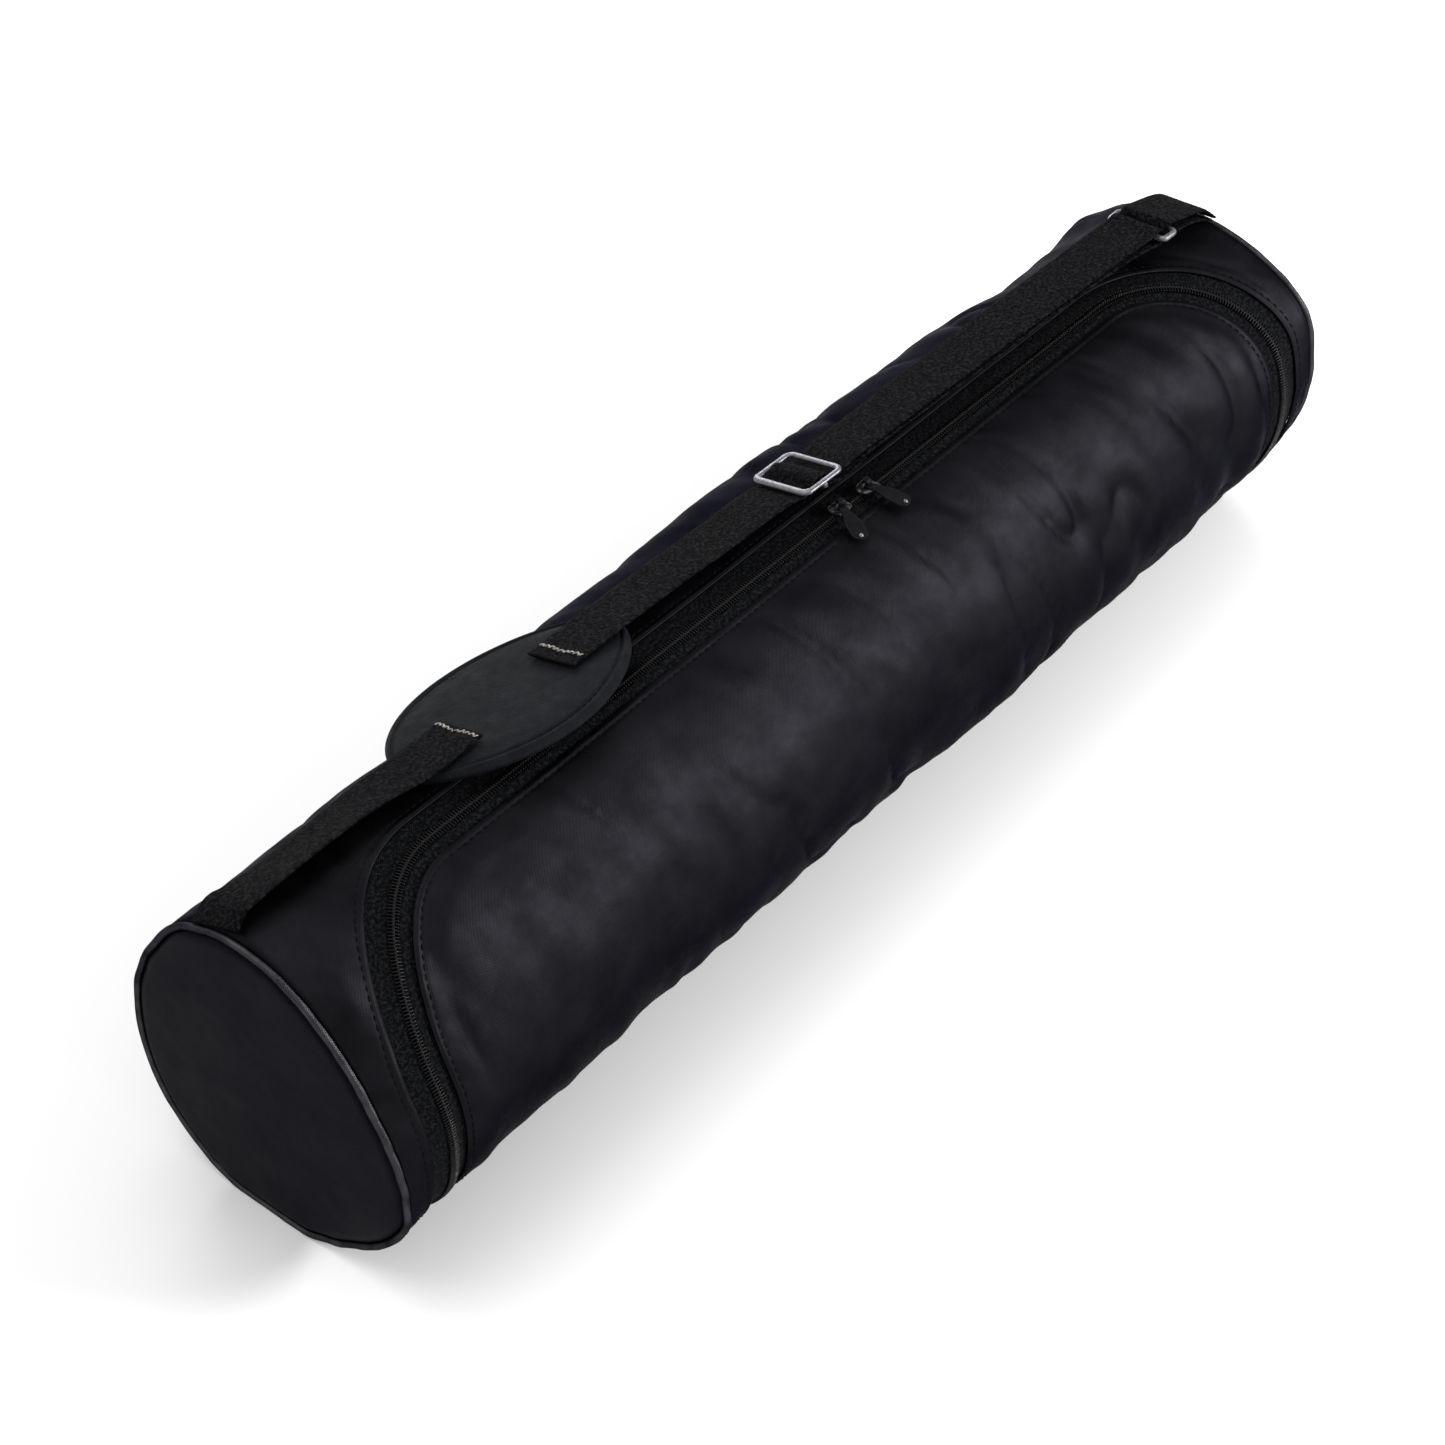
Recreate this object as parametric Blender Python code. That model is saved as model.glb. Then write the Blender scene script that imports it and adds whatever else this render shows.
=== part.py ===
"""Soft zipped drawing tube: a padded cloth sleeve with a U-zipped front panel and a carry strap.

Frame: +X runs along the tube to the end with the metal ring, -Y is the zip side, +Z is up.
The bag lies on its underside at z = 0. Lengths are in metres.
"""

import math

import bmesh
import bpy
from mathutils import Matrix, Vector

# Driving dimensions
LENGTH = 0.660           # over the end panels
RADIUS = 0.0785          # nominal radius of the padded tube
AXIS_Z = 0.0825          # height of the tube's axis over the floor
CLOTH = 0.0016           # padded cloth wall
WEBBING_WIDTH = 0.030
WEBBING = 0.0014         # webbing thickness
GAP = 0.0004             # clearance between neighbouring pieces

# Zip path, unrolled: x along the tube, s around it from the front (-Y) upwards
ZIP_TOP = 0.1154         # arc height of the straight top run
ZIP_HALF = 0.301         # half length over the two legs
CORNER_X = 0.068
CORNER_S = 0.085
HINGE_S = math.radians(-50.0) * RADIUS
LEG_FOOT = HINGE_S + 0.010
BODY_EDGE = 0.0120       # cloth edge of the body, outside the teeth
FLAP_EDGE = -0.0085      # cloth edge of the front panel, inside the teeth
TAPE_OUT = (-CLOTH - GAP - 0.0010, -CLOTH - GAP)
BINDING_OUT = (-CLOTH - 0.0034, -CLOTH - 0.0024)
COIL_OUT = (-0.0017, 0.0003)

# Strap line from the pad to the ring, heights above the tube axis
LINE_START = Vector((-0.090, 0.0195, 0.0860))
LINE_END = Vector((0.2805, 0.0035, 0.0935))
PAD_X = -0.1530
PAD_S = math.radians(101.5) * RADIUS
PAD_HALF = (0.0655, 0.0400)
PAD_POINT = 0.66         # 0.5 would be an ellipse; higher is more pointed
PAD_ROLL = -17.5         # the pad leans back off the zip, in degrees about X
PAD_BEND = 0.50          # radius the pad is bent to
PAD_OUT = 0.0043         # the taut strap holds the pad this far off the cloth
PAD_LAYER = (-0.0025, 0.0025)
COVER_LAYER = (0.0029, 0.0041)
STRAP_REST = COVER_LAYER[1] + GAP + WEBBING / 2
BARTACKS = {"bartack_near": -0.1879, "bartack_far": -0.1220}

ADJUSTER_X = 0.0340
SLIDERS = {"near": 0.0370, "far": 0.0560}
RING_BARS = (0.2805, 0.2895)
ROD = 0.0015
LOOP = ROD + 0.0006 + WEBBING / 2
BAIL = 0.0050            # height of the slider's bail over the cloth
PULL_LENGTH = 0.0220
PULL_LIFT = math.radians(27.0)

# Soft bulges and dents in millimetres, as (degrees, amount) round the tube and
# (x, amount) along its lower front and upper back
UNDERSIDE = ((-50, 0.0), (225, 0.0), (262, 5.5), (275, 5.5), (305, 0.0), (310, 0.0))
NEAR_RIM = ((-50, 0.0), (-24, 1.2), (-5, 0.0), (125, 0.0), (140, -0.5), (156, 1.5), (170, 3.0),
            (225, 3.5), (240, 2.5), (250, 0.8), (262, -1.0), (285, -1.0), (297, 1.0), (310, 0.0))
NEAR_SEAM = ((-50, 2.2), (-24, 0.5), (-8, -2.5), (0, -5.0), (12, -7.5), (25, -9.0), (45, -8.0),
             (60, -7.0), (72, -5.5), (85, -3.8), (110, -1.5), (122, 0.0), (297, 1.0), (310, 2.2))
FAR_RIM = ((-50, 0.0), (-24, -4.8), (0, -4.0), (12, -2.5), (36, 2.5), (60, 0.3), (78, 0.0),
           (105, 0.0), (120, -4.5), (135, -5.3), (156, -0.3), (175, 3.0), (240, 0.0), (310, 0.0))
LOWER_FRONT = ((-0.33, 0.0), (-0.29, 0.0), (-0.26, -1.6), (-0.22, -1.1), (-0.165, -2.6),
               (-0.11, -0.4), (-0.06, -1.3), (0.0, -1.5), (0.05, 0.5), (0.08, 1.2), (0.13, 0.4),
               (0.165, -0.9), (0.20, -0.6), (0.25, 0.2), (0.29, 0.9), (0.31, 2.5), (0.33, 1.0))
UPPER_BACK = ((-0.33, 0.0), (-0.30, -0.9), (-0.20, -0.4), (-0.12, 2.5), (-0.06, 3.6), (0.06, 3.7),
              (0.10, 2.0), (0.15, -0.2), (0.21, -1.7), (0.25, -6.0), (0.29, -6.0), (0.33, -1.0))
RIM_FADE = (0.13, 0.022, 0.05)  # how far the near rim, near seam and far rim shapes reach

RING_STEPS = 48
CORNER_ANGLES = (0, 5, 10, 15, 20, 26, 32, 38, 45, 52, 60, 68, 76, 84, 90)

MATERIALS = {
    "cloth": ((0.020, 0.020, 0.022), 0.55, 0.0),
    "panel": ((0.012, 0.012, 0.016), 0.45, 0.0),
    "piping": ((0.060, 0.060, 0.064), 0.40, 0.0),
    "foam": ((0.080, 0.080, 0.080), 0.90, 0.0),
    "binding": ((0.015, 0.015, 0.016), 0.80, 0.0),
    "tape": ((0.010, 0.010, 0.011), 0.85, 0.0),
    "coil": ((0.030, 0.030, 0.032), 0.35, 0.0),
    "slider": ((0.040, 0.040, 0.042), 0.35, 0.9),
    "pull": ((0.015, 0.015, 0.016), 0.50, 0.0),
    "webbing": ((0.035, 0.035, 0.037), 0.80, 0.0),
    "pad": ((0.040, 0.044, 0.046), 0.70, 0.0),
    "thread": ((0.620, 0.590, 0.530), 0.80, 0.0),
    "metal": ((0.300, 0.300, 0.320), 0.40, 1.0),
}


def clear_scene():
    for obj in list(bpy.data.objects):
        bpy.data.objects.remove(obj, do_unlink=True)


def ease(low, high, value):
    f = min(max((value - low) / (high - low), 0.0), 1.0)
    return f * f * (3 - 2 * f)


def through(table, value):
    """Smooth curve through a table of (place, amount)."""
    for (a, low), (b, high) in zip(table, table[1:]):
        if value <= b:
            return low + (high - low) * ease(a, b, value)
    return table[-1][1]


def bulge(x, angle):
    """Soft departures from the plain section, none at the zip's top run or at the hinge."""
    degrees = (math.degrees(angle) + 50.0) % 360.0 - 50.0
    near = 1 - ease(0.0, RIM_FADE[0], x + LENGTH / 2)
    seam = 1 - ease(0.0, RIM_FADE[1], x + LENGTH / 2)
    far = 1 - ease(0.0, RIM_FADE[2], LENGTH / 2 - x)
    low = ease(-50.0, -20.0, degrees) * (1 - ease(-20.0, 45.0, degrees)) / 0.7
    back = ease(104.0, 135.0, degrees) * (1 - ease(150.0, 195.0, degrees))
    total = near * through(NEAR_RIM, degrees) + seam * through(NEAR_SEAM, degrees)
    total += far * through(FAR_RIM, degrees) + through(UNDERSIDE, degrees)
    total += low * through(LOWER_FRONT, x) + back * through(UPPER_BACK, x)
    return total / 1000


def section(x, angle):
    """Radius of the outer cloth at this angle: the near end is pulled oval, the far end narrower."""
    along = (x + LENGTH / 2) / LENGTH
    near = 1 - 0.029 * math.cos(2 * angle) + 0.027 * math.cos(3 * angle)
    near -= 0.022 * math.sin(3 * angle)
    far = 0.98 + 0.045 * math.sin(3 * angle) * (0.6 + 0.4 * math.cos(angle - 1.0))
    return RADIUS * ((1 - along) * near + along * far) + bulge(x, angle)


def skin(x, s, out=0.0):
    """Point on the cloth at arc s, raised outwards by out, pressed flat on the floor."""
    angle = s / RADIUS
    r = section(x, angle) + out
    z = AXIS_Z + r * math.sin(angle)
    return Vector((x, -r * math.cos(angle), max(z, -out, 0.0)))


def new_object(name, bm, kind):
    bmesh.ops.recalc_face_normals(bm, faces=bm.faces)
    mesh = bpy.data.meshes.new(name)
    bm.to_mesh(mesh)
    bm.free()
    obj = bpy.data.objects.new(name, mesh)
    bpy.context.scene.collection.objects.link(obj)
    colour, roughness, metallic = MATERIALS[kind]
    material = bpy.data.materials.new(name)
    material.use_nodes = True
    shader = material.node_tree.nodes["Principled BSDF"]
    shader.inputs["Base Color"].default_value = (*colour, 1.0)
    shader.inputs["Roughness"].default_value = roughness
    shader.inputs["Metallic"].default_value = metallic
    mesh.materials.append(material)
    return obj


def shade_smooth(obj, angle=40.0):
    for face in obj.data.polygons:
        face.use_smooth = True
    obj.data.set_sharp_from_angle(angle=math.radians(angle))
    return obj


def set_origin(obj, point):
    """Move the object's origin to the point and leave its shape where it is."""
    obj.data.transform(Matrix.Translation(-point))
    obj.location = point
    return obj


# ---- builders -------------------------------------------------------------------------------

def slab(name, grid, inner, outer, kind, closed=False, present=None, surface=skin):
    """A cloth layer of even thickness over a grid of surface points, open or closed round the tube."""
    bm = bmesh.new()
    rows, cols = len(grid), len(grid[0])
    verts = {}
    for layer, out in enumerate((outer, inner)):
        for i, row in enumerate(grid):
            for j, (x, s) in enumerate(row):
                verts[layer, i, j] = bm.verts.new(surface(x, s, out))
    edges = set()
    for i in range(rows if closed else rows - 1):
        for j in range(cols - 1):
            if present and not present(i, j):
                continue
            n = (i + 1) % rows
            loop = [(i, j), (i, j + 1), (n, j + 1), (n, j)]
            bm.faces.new([verts[0, a, b] for a, b in loop])
            bm.faces.new([verts[1, a, b] for a, b in reversed(loop)])
            edges.update(zip(loop, loop[1:] + loop[:1]))
    for a, b in sorted(edges):
        if (b, a) not in edges:
            bm.faces.new([verts[0, a[0], a[1]], verts[1, a[0], a[1]],
                          verts[1, b[0], b[1]], verts[0, b[0], b[1]]])
    bmesh.ops.delete(bm, geom=[v for v in bm.verts if not v.link_faces], context="VERTS")
    return shade_smooth(new_object(name, bm, kind))


def bridge(name, rings, kind, closed=False, angle=40.0):
    """Join a list of equal point rings into one closed body, with end caps unless it closes up."""
    bm = bmesh.new()
    loops = [[bm.verts.new(p) for p in ring] for ring in rings]
    count = len(loops[0])
    for i in range(len(loops) if closed else len(loops) - 1):
        a, b = loops[i], loops[(i + 1) % len(loops)]
        for j in range(count):
            k = (j + 1) % count
            bm.faces.new([a[j], a[k], b[k], b[j]])
    if not closed:
        bm.faces.new(loops[0])
        bm.faces.new(loops[-1])
    return shade_smooth(new_object(name, bm, kind), angle)


def ribbon(name, path, kind, width=WEBBING_WIDTH, thickness=WEBBING):
    """Webbing along a path of (x, y, z, roll) stations, z above the floor, roll in degrees about X."""
    rings = []
    points = [Vector(p[:3]) for p in path]
    for i, station in enumerate(path):
        ahead = points[min(i + 1, len(points) - 1)]
        behind = points[max(i - 1, 0)]
        along = (ahead - behind).normalized()
        roll = math.radians(station[3])
        across = Vector((0.0, math.cos(roll), math.sin(roll)))
        across = (across - along * across.dot(along)).normalized()
        up = along.cross(across)
        half = station[4] / 2 if len(station) > 4 else width / 2
        corner = [(-1, -1), (1, -1), (1, 1), (-1, 1)]
        rings.append([points[i] + across * half * u + up * thickness / 2 * v for u, v in corner])
    return bridge(name, rings, kind)


def box(name, centre, size, axes=None):
    bm = bmesh.new()
    bmesh.ops.create_cube(bm, size=1.0)
    turn = axes.to_4x4() if axes else Matrix.Identity(4)
    bmesh.ops.transform(bm, matrix=Matrix.Diagonal((*size, 1.0)), verts=bm.verts)
    bmesh.ops.transform(bm, matrix=Matrix.Translation(centre) @ turn, verts=bm.verts)
    return new_object(name, bm, "metal")


def rod(name, start, end, radius, sides=12):
    bm = bmesh.new()
    along = end - start
    bmesh.ops.create_cone(bm, cap_ends=True, segments=sides, radius1=radius, radius2=radius,
                          depth=along.length)
    turn = along.to_track_quat("Z", "Y").to_matrix().to_4x4()
    bmesh.ops.transform(bm, matrix=Matrix.Translation((start + end) / 2) @ turn, verts=bm.verts)
    return new_object(name, bm, "metal")


def fuse(name, pieces, kind):
    """Join solid pieces into one closed body."""
    base = pieces[0]
    for piece in pieces[1:]:
        join = base.modifiers.new("join", "BOOLEAN")
        join.operation = "UNION"
        join.solver = "EXACT"
        join.object = piece
    graph = bpy.context.evaluated_depsgraph_get()
    bm = bmesh.new()
    bm.from_mesh(base.evaluated_get(graph).to_mesh())
    bmesh.ops.remove_doubles(bm, verts=bm.verts, dist=0.000001)
    for piece in pieces:
        bpy.data.objects.remove(piece, do_unlink=True)
    return shade_smooth(new_object(name, bm, kind), 30.0)


# ---- zip path -------------------------------------------------------------------------------

def corner_point(angle, off):
    """Half length and arc height on the rounded zip corner, off outside the teeth line."""
    a = math.radians(angle)
    return (ZIP_HALF - CORNER_X + (CORNER_X + off) * math.cos(a),
            ZIP_TOP - CORNER_S + (CORNER_S + off) * math.sin(a))


def leg_arcs(foot, count=11):
    top = ZIP_TOP - CORNER_S
    return [foot + (top - foot) * i / count for i in range(count)]


def zip_stations(off, foot):
    """The whole U at this offset: up the near leg, along the top, down the far leg."""
    half = [(ZIP_HALF + off, s) for s in leg_arcs(foot)]
    half += [corner_point(a, off) for a in CORNER_ANGLES]
    top = [(x / 8 * (ZIP_HALF - CORNER_X), ZIP_TOP + off) for x in range(-7, 8)]
    return [(-x, s) for x, s in half] + top + [(x, s) for x, s in reversed(half)]


def zip_strip(name, near, far, outs, kind, foot):
    """A strip that follows the U between two offsets from the teeth line."""
    grid = [list(pair) for pair in zip(zip_stations(near, foot), zip_stations(far, foot))]
    return slab(name, grid, outs[0], outs[1], kind)


# ---- bag ------------------------------------------------------------------------------------

def body_sleeve():
    """The cloth tube: full rows behind the opening, two end bands beside it."""
    end = LENGTH / 2 - 0.0045
    front = [(ZIP_HALF + BODY_EDGE, s) for s in leg_arcs(HINGE_S - 0.001)]
    front += [corner_point(a, BODY_EDGE) for a in CORNER_ANGLES]
    low, high = front[0], front[-1]
    turn = 2 * math.pi * RADIUS
    back = []
    for i in range(1, RING_STEPS * 5 // 8):
        f = i / (RING_STEPS * 5 // 8)
        back.append((high[0] + (low[0] - high[0]) * f, high[1] + (low[1] + turn - high[1]) * f))
    grid = []
    for half, s in front + back:
        band = [half + (end - half) * i / 3 for i in range(4)]
        middle = [half * i / 6 for i in range(-5, 6)]
        grid.append([(x, s) for x in [-b for b in reversed(band)] + middle + band])
    last = len(front) - 1

    def present(i, j):
        return i >= last or j < 3 or j >= len(grid[0]) - 4
    return slab("body_sleeve", grid, -CLOTH, 0.0, "cloth", closed=True, present=present)


def front_flap():
    rows = [(ZIP_HALF + FLAP_EDGE, s) for s in leg_arcs(HINGE_S + 0.001)]
    rows += [corner_point(a, FLAP_EDGE) for a in CORNER_ANGLES]
    grid = [[(half * i / 10, s) for i in range(-10, 11)] for half, s in rows]
    return slab("front_flap", grid, -CLOTH, 0.0, "cloth")


def around():
    return [2 * math.pi * RADIUS * i / RING_STEPS for i in range(RING_STEPS)]


def ring_slab(name, x0, x1, outs, kind):
    grid = [[(x0, s), (x1, s)] for s in around()]
    return slab(name, grid, outs[0], outs[1], kind, closed=True)


def disc(name, x0, x1, out, kind):
    rings = [[skin(x, s, out) for s in around()] for x in (x0, x1)]
    return bridge(name, rings, kind)


def piping(name, x, out, radius):
    rings = []
    for s in around():
        turns = [2 * math.pi * k / 8 for k in range(8)]
        rings.append([skin(x + radius * math.cos(a), s, out + radius * math.sin(a)) for a in turns])
    return bridge(name, rings, "piping", closed=True, angle=60.0)


def end_parts(end, side):
    face = side * LENGTH / 2
    disc(end + "_end_panel", face, face - side * 0.0020, -0.0030, "panel")
    disc(end + "_stiffener", face - side * 0.0024, face - side * 0.0054, -0.0034, "foam")
    piping(end + "_piping", face - side * 0.0020, -0.0005, 0.0020)
    ring_slab(end + "_binding", face - side * 0.0060, face - side * 0.0140, BINDING_OUT,
              "binding")


def zip_parts():
    zip_strip("zip_tape_body", 0.0008, BODY_EDGE + 0.0025, TAPE_OUT, "tape", HINGE_S + 0.003)
    zip_strip("zip_coil_body", 0.0006, 0.0022, COIL_OUT, "coil", LEG_FOOT)
    flap = [zip_strip("zip_tape_flap", FLAP_EDGE - 0.0025, -0.0008, TAPE_OUT, "tape",
                      HINGE_S + 0.003),
            zip_strip("zip_coil_flap", -0.0022, -0.0006, COIL_OUT, "coil", LEG_FOOT)]
    for name, side in (("near", -1), ("far", 1)):
        xs = [side * (ZIP_HALF + 0.0005), side * (ZIP_HALF + 0.0040)]
        grid = [[(x, LEG_FOOT - 0.0045), (x, LEG_FOOT - 0.0010)] for x in xs]
        slab("zip_stop_" + name, grid, -0.0016, 0.0010, "slider")
    return flap


def hinge_binding():
    half = ZIP_HALF - 0.004
    grid = [[(half * i / 6, HINGE_S - 0.0075), (half * i / 6, HINGE_S - 0.0008)]
            for i in range(-6, 7)]
    return slab("hinge_binding", grid, TAPE_OUT[0], TAPE_OUT[1], "binding")


# ---- sliders --------------------------------------------------------------------------------

def slider_frame(x):
    """Point on the teeth line and a frame: along the zip, up the body side, outwards."""
    here = skin(x, ZIP_TOP)
    along = (skin(0.2, ZIP_TOP) - skin(-0.2, ZIP_TOP)).normalized()
    across = (skin(x, ZIP_TOP + 0.001) - skin(x, ZIP_TOP - 0.001))
    across = (across - along * across.dot(along)).normalized()
    return here, Matrix((along, across, along.cross(across))).transposed()


def slider(end, x):
    here, axes = slider_frame(x)

    def at(u, v, w):
        return here + axes @ Vector((u, v, w))
    top = box("top", at(0, 0.00225, 0.0014), (0.0110, 0.0049, 0.0014), axes)
    base = box("base", at(0, 0.0, -0.0046), (0.0110, 0.0090, 0.0014), axes)
    post = box("post", at(0, 0.0, -0.0016), (0.0030, 0.0006, 0.0060), axes)
    legs = [box("leg", at(side * 0.0030, 0.0006, 0.0033), (0.0012, 0.0014, 0.0044), axes)
            for side in (-1, 1)]
    bail = rod("bail", at(-0.0032, 0.0006, BAIL), at(0.0032, 0.0006, BAIL), 0.0006)
    obj = fuse("slider_" + end, [top, base, post, *legs, bail], "slider")
    set_origin(obj, here)
    return at(0, 0.0006, BAIL), axes


def pull(end, bail, axes):
    """A flat pull whose curled end turns on the slider's bail."""
    mean, thick = 0.0014, 0.0009
    sweep = [math.radians(a) for a in range(-120, 181, 25)]
    path = [(mean * math.cos(a), mean * math.sin(a)) for a in sweep]
    path += [(-mean - 0.0002, -0.0030), (-mean - 0.0002, -PULL_LENGTH)]
    widths = [0.0036] * len(sweep) + [0.0052, 0.0076]
    turn = Matrix.Rotation(-PULL_LIFT, 3, "X")
    rings = []
    for i, (w, v) in enumerate(path):
        ahead = Vector(path[min(i + 1, len(path) - 1)])
        behind = Vector(path[max(i - 1, 0)])
        t = (ahead - behind).normalized()
        normal = Vector((t.y, -t.x))
        corners = [(-1, -1), (1, -1), (1, 1), (-1, 1)]
        ring = []
        for a, b in corners:
            flat = Vector((w, v)) + normal * thick / 2 * b
            local = Vector((widths[i] / 2 * a, flat.y, flat.x))
            ring.append(bail + axes @ (turn @ local))
        rings.append(ring)
    return set_origin(bridge("pull_" + end, rings, "pull"), bail)


# ---- strap ----------------------------------------------------------------------------------

def on_line(x, drop=0.0):
    """Point on the straight strap line, lowered by drop."""
    f = (x - LINE_START.x) / (LINE_END.x - LINE_START.x)
    point = LINE_START.lerp(LINE_END, f)
    return Vector((x, point.y, point.z + AXIS_Z - drop))


def pad_point(x, across, height):
    """Point on the gently bent pad, which stands on the sleeve along its middle."""
    roll = math.radians(PAD_ROLL)
    side = Vector((0.0, math.cos(roll), math.sin(roll)))
    up = Vector((0.0, -math.sin(roll), math.cos(roll)))
    droop = across * across / (2 * PAD_BEND)
    return skin(x, PAD_S, PAD_OUT) + side * across + up * (height - droop)


def over_pad(x, height):
    return (*pad_point(x, 0.0, height), PAD_ROLL)


def arc_path(centre, start, stop, radius, steps=10):
    """Stations round a bar along Y, angles in degrees from +X towards +Z."""
    path = []
    for i in range(steps + 1):
        a = math.radians(start + (stop - start) * i / steps)
        path.append((centre.x + radius * math.cos(a), centre.y, centre.z + radius * math.sin(a), 0))
    return path


def bar_centre(x):
    return Vector((x, LINE_END.y, LINE_END.z + AXIS_Z - LOOP))


def straps():
    seam = skin(-0.3240, math.radians(106.0) * RADIUS, 0.0032)
    near = [(*seam, -20.0), (-0.3120, 0.0230, AXIS_Z + 0.0848, -24.0),
            (-0.2900, 0.0218, AXIS_Z + 0.0862, -30.0), (-0.2550, 0.0213, AXIS_Z + 0.0868, -28.0),
            (-0.2350, 0.0207, AXIS_Z + 0.0876, -23.0),
            over_pad(-0.2150, STRAP_REST), over_pad(-0.1835, STRAP_REST)]
    ribbon("strap_near", near, "webbing")
    twist = [(-0.0700, -16.0), (-0.0480, -11.0), (-0.0280, -5.0), (-0.0115, 0.0), (0.1000, 0.0),
             (0.2600, 0.0)]
    long = [over_pad(-0.1280, STRAP_REST), over_pad(-0.0900, STRAP_REST)]
    long += [(*on_line(x), roll) for x, roll in twist]
    long += arc_path(bar_centre(RING_BARS[0]), 90, -90, LOOP)
    long += [(*on_line(0.2500, 0.0026), 0.0), (*on_line(0.2000, 0.0022), 0.0)]
    ribbon("strap_long", long, "webbing")
    for name, x in BARTACKS.items():
        ends = [over_pad(x + side * 0.0011, STRAP_REST + WEBBING / 2 + 0.0006) for side in (-1, 1)]
        ribbon(name, ends, "thread", width=0.0260, thickness=0.0005)


def shoulder_pad():
    """Two layers with pointed oval outlines, the cover a little smaller than the base."""
    def grid(inset):
        rows = []
        for i in range(-8, 9):
            row = []
            for j in range(-8, 9):
                u = j / 8.3
                half = (PAD_HALF[1] - inset) * (1 - u * u) ** PAD_POINT
                row.append((PAD_X + (PAD_HALF[0] - inset) * u, half * i / 8))
            rows.append(row)
        return rows
    slab("pad_base", grid(0.0), PAD_LAYER[0], PAD_LAYER[1], "pad", surface=pad_point)
    slab("pad_cover", grid(0.0045), COVER_LAYER[0], COVER_LAYER[1], "pad", surface=pad_point)


def adjuster():
    """Ladder slide: two outer bars over the strap, the middle bar under it."""
    here = on_line(ADJUSTER_X)
    wide = WEBBING_WIDTH / 2 + 0.0032

    def bar(name, dx, drop, radius):
        centre = on_line(ADJUSTER_X + dx, drop)
        return rod(name, centre - Vector((0, wide, 0)), centre + Vector((0, wide, 0)), radius)
    over = -(WEBBING / 2 + GAP + 0.0014)
    under = WEBBING / 2 + GAP + 0.0029
    sides = []
    for side in (-1, 1):
        centre = on_line(ADJUSTER_X, 0.0008) + Vector((0, side * (wide - 0.0011), 0))
        sides.append(box("side", centre, (0.0262, 0.0022, 0.0092)))
    bars = [bar("bar", -0.0115, over, 0.0016), bar("bar", 0.0115, over, 0.0013),
            bar("bar", 0.0, under, 0.0012)]
    set_origin(fuse("adjuster", [sides[0], *bars, sides[1]], "metal"), here)
    centre = on_line(ADJUSTER_X, under)
    loop = 0.0022
    path = [(*on_line(0.1600, 0.0024), 0.0), (*on_line(0.0600, 0.0024), 0.0)]
    path += arc_path(centre, 90, 270, loop)
    path += [(*on_line(0.0460, 0.0058), 0.0), (*on_line(0.0620, 0.0044), 0.0)]
    set_origin(ribbon("strap_return", path, "webbing"), here)


def ring():
    """Rectangular ring: a rod bent into a closed loop, turning on the bar held by the tab."""
    low, high = bar_centre(RING_BARS[0]), bar_centre(RING_BARS[1])
    half = WEBBING_WIDTH / 2 + 0.0028
    bend = 0.0022
    corners = [(high.x, half), (low.x, half), (low.x, -half), (high.x, -half)]
    path = []
    for k, (x, y) in enumerate(corners):
        cx = x - bend if x > (low.x + high.x) / 2 else x + bend
        cy = y - math.copysign(bend, y)
        for step in range(4):
            a = math.radians(90 * k + 30 * step)
            path.append(Vector((cx + bend * math.cos(a), low.y + cy + bend * math.sin(a), low.z)))
    rings = []
    for i, point in enumerate(path):
        along = (path[(i + 1) % len(path)] - path[i - 1]).normalized()
        side = along.cross(Vector((0, 0, 1)))
        turns = [2 * math.pi * k / 10 for k in range(10)]
        rings.append([point + side * ROD * math.cos(a) + Vector((0, 0, ROD * math.sin(a)))
                      for a in turns])
    return set_origin(bridge("ring", rings, "metal", closed=True, angle=60.0), high)


def ring_tab():
    """Folded webbing from the far seam round the ring and back."""
    centre = bar_centre(RING_BARS[1])
    y = centre.y
    path = [(0.3238, y, AXIS_Z + 0.0765, 0.0), (0.3130, y, AXIS_Z + 0.0846, 0.0),
            (0.3020, y, AXIS_Z + 0.0871, 0.0)]
    path += arc_path(centre, 270, 90, LOOP)
    path += [(0.3050, y, AXIS_Z + 0.0932, 0.0), (0.3150, y, AXIS_Z + 0.0903, 0.0),
             (0.3238, y, AXIS_Z + 0.0806, 0.0)]
    return ribbon("ring_tab", path, "webbing")


def centre_on_floor():
    """Put the origin under the middle of the bounding box, on the floor."""
    points = [obj.matrix_world @ v.co for obj in bpy.data.objects for v in obj.data.vertices]
    shift = Vector((-(min(p.x for p in points) + max(p.x for p in points)) / 2,
                    -(min(p.y for p in points) + max(p.y for p in points)) / 2,
                    -min(p.z for p in points)))
    for obj in bpy.data.objects:
        if obj.parent is None:
            obj.location += shift
    return shift


def main():
    clear_scene()
    body_sleeve()
    flap = [front_flap(), *zip_parts()]
    for obj in flap:
        set_origin(obj, skin(0.0, HINGE_S))
    hinge_binding()
    end_parts("near", -1)
    end_parts("far", 1)
    for end, x in SLIDERS.items():
        bail, axes = slider(end, x)
        pull(end, bail, axes)
    straps()
    shoulder_pad()
    adjuster()
    ring()
    ring_tab()
    bpy.context.view_layer.update()
    shift = centre_on_floor()
    hinge = skin(0.3, HINGE_S) - skin(-0.3, HINGE_S)
    print("shift", [round(v, 6) for v in shift])
    print("flap_open axis", [round(v, 6) for v in hinge.normalized()])
    print("zip axis", [round(v, 6) for v in slider_frame(0.0)[1].col[0]])
    print("strap axis", [round(v, 6) for v in (LINE_END - LINE_START).normalized()])
    for obj in bpy.data.objects:
        if obj.location.length > 0.02:
            print("origin", obj.name, [round(v, 6) for v in obj.location])


main()
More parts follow.
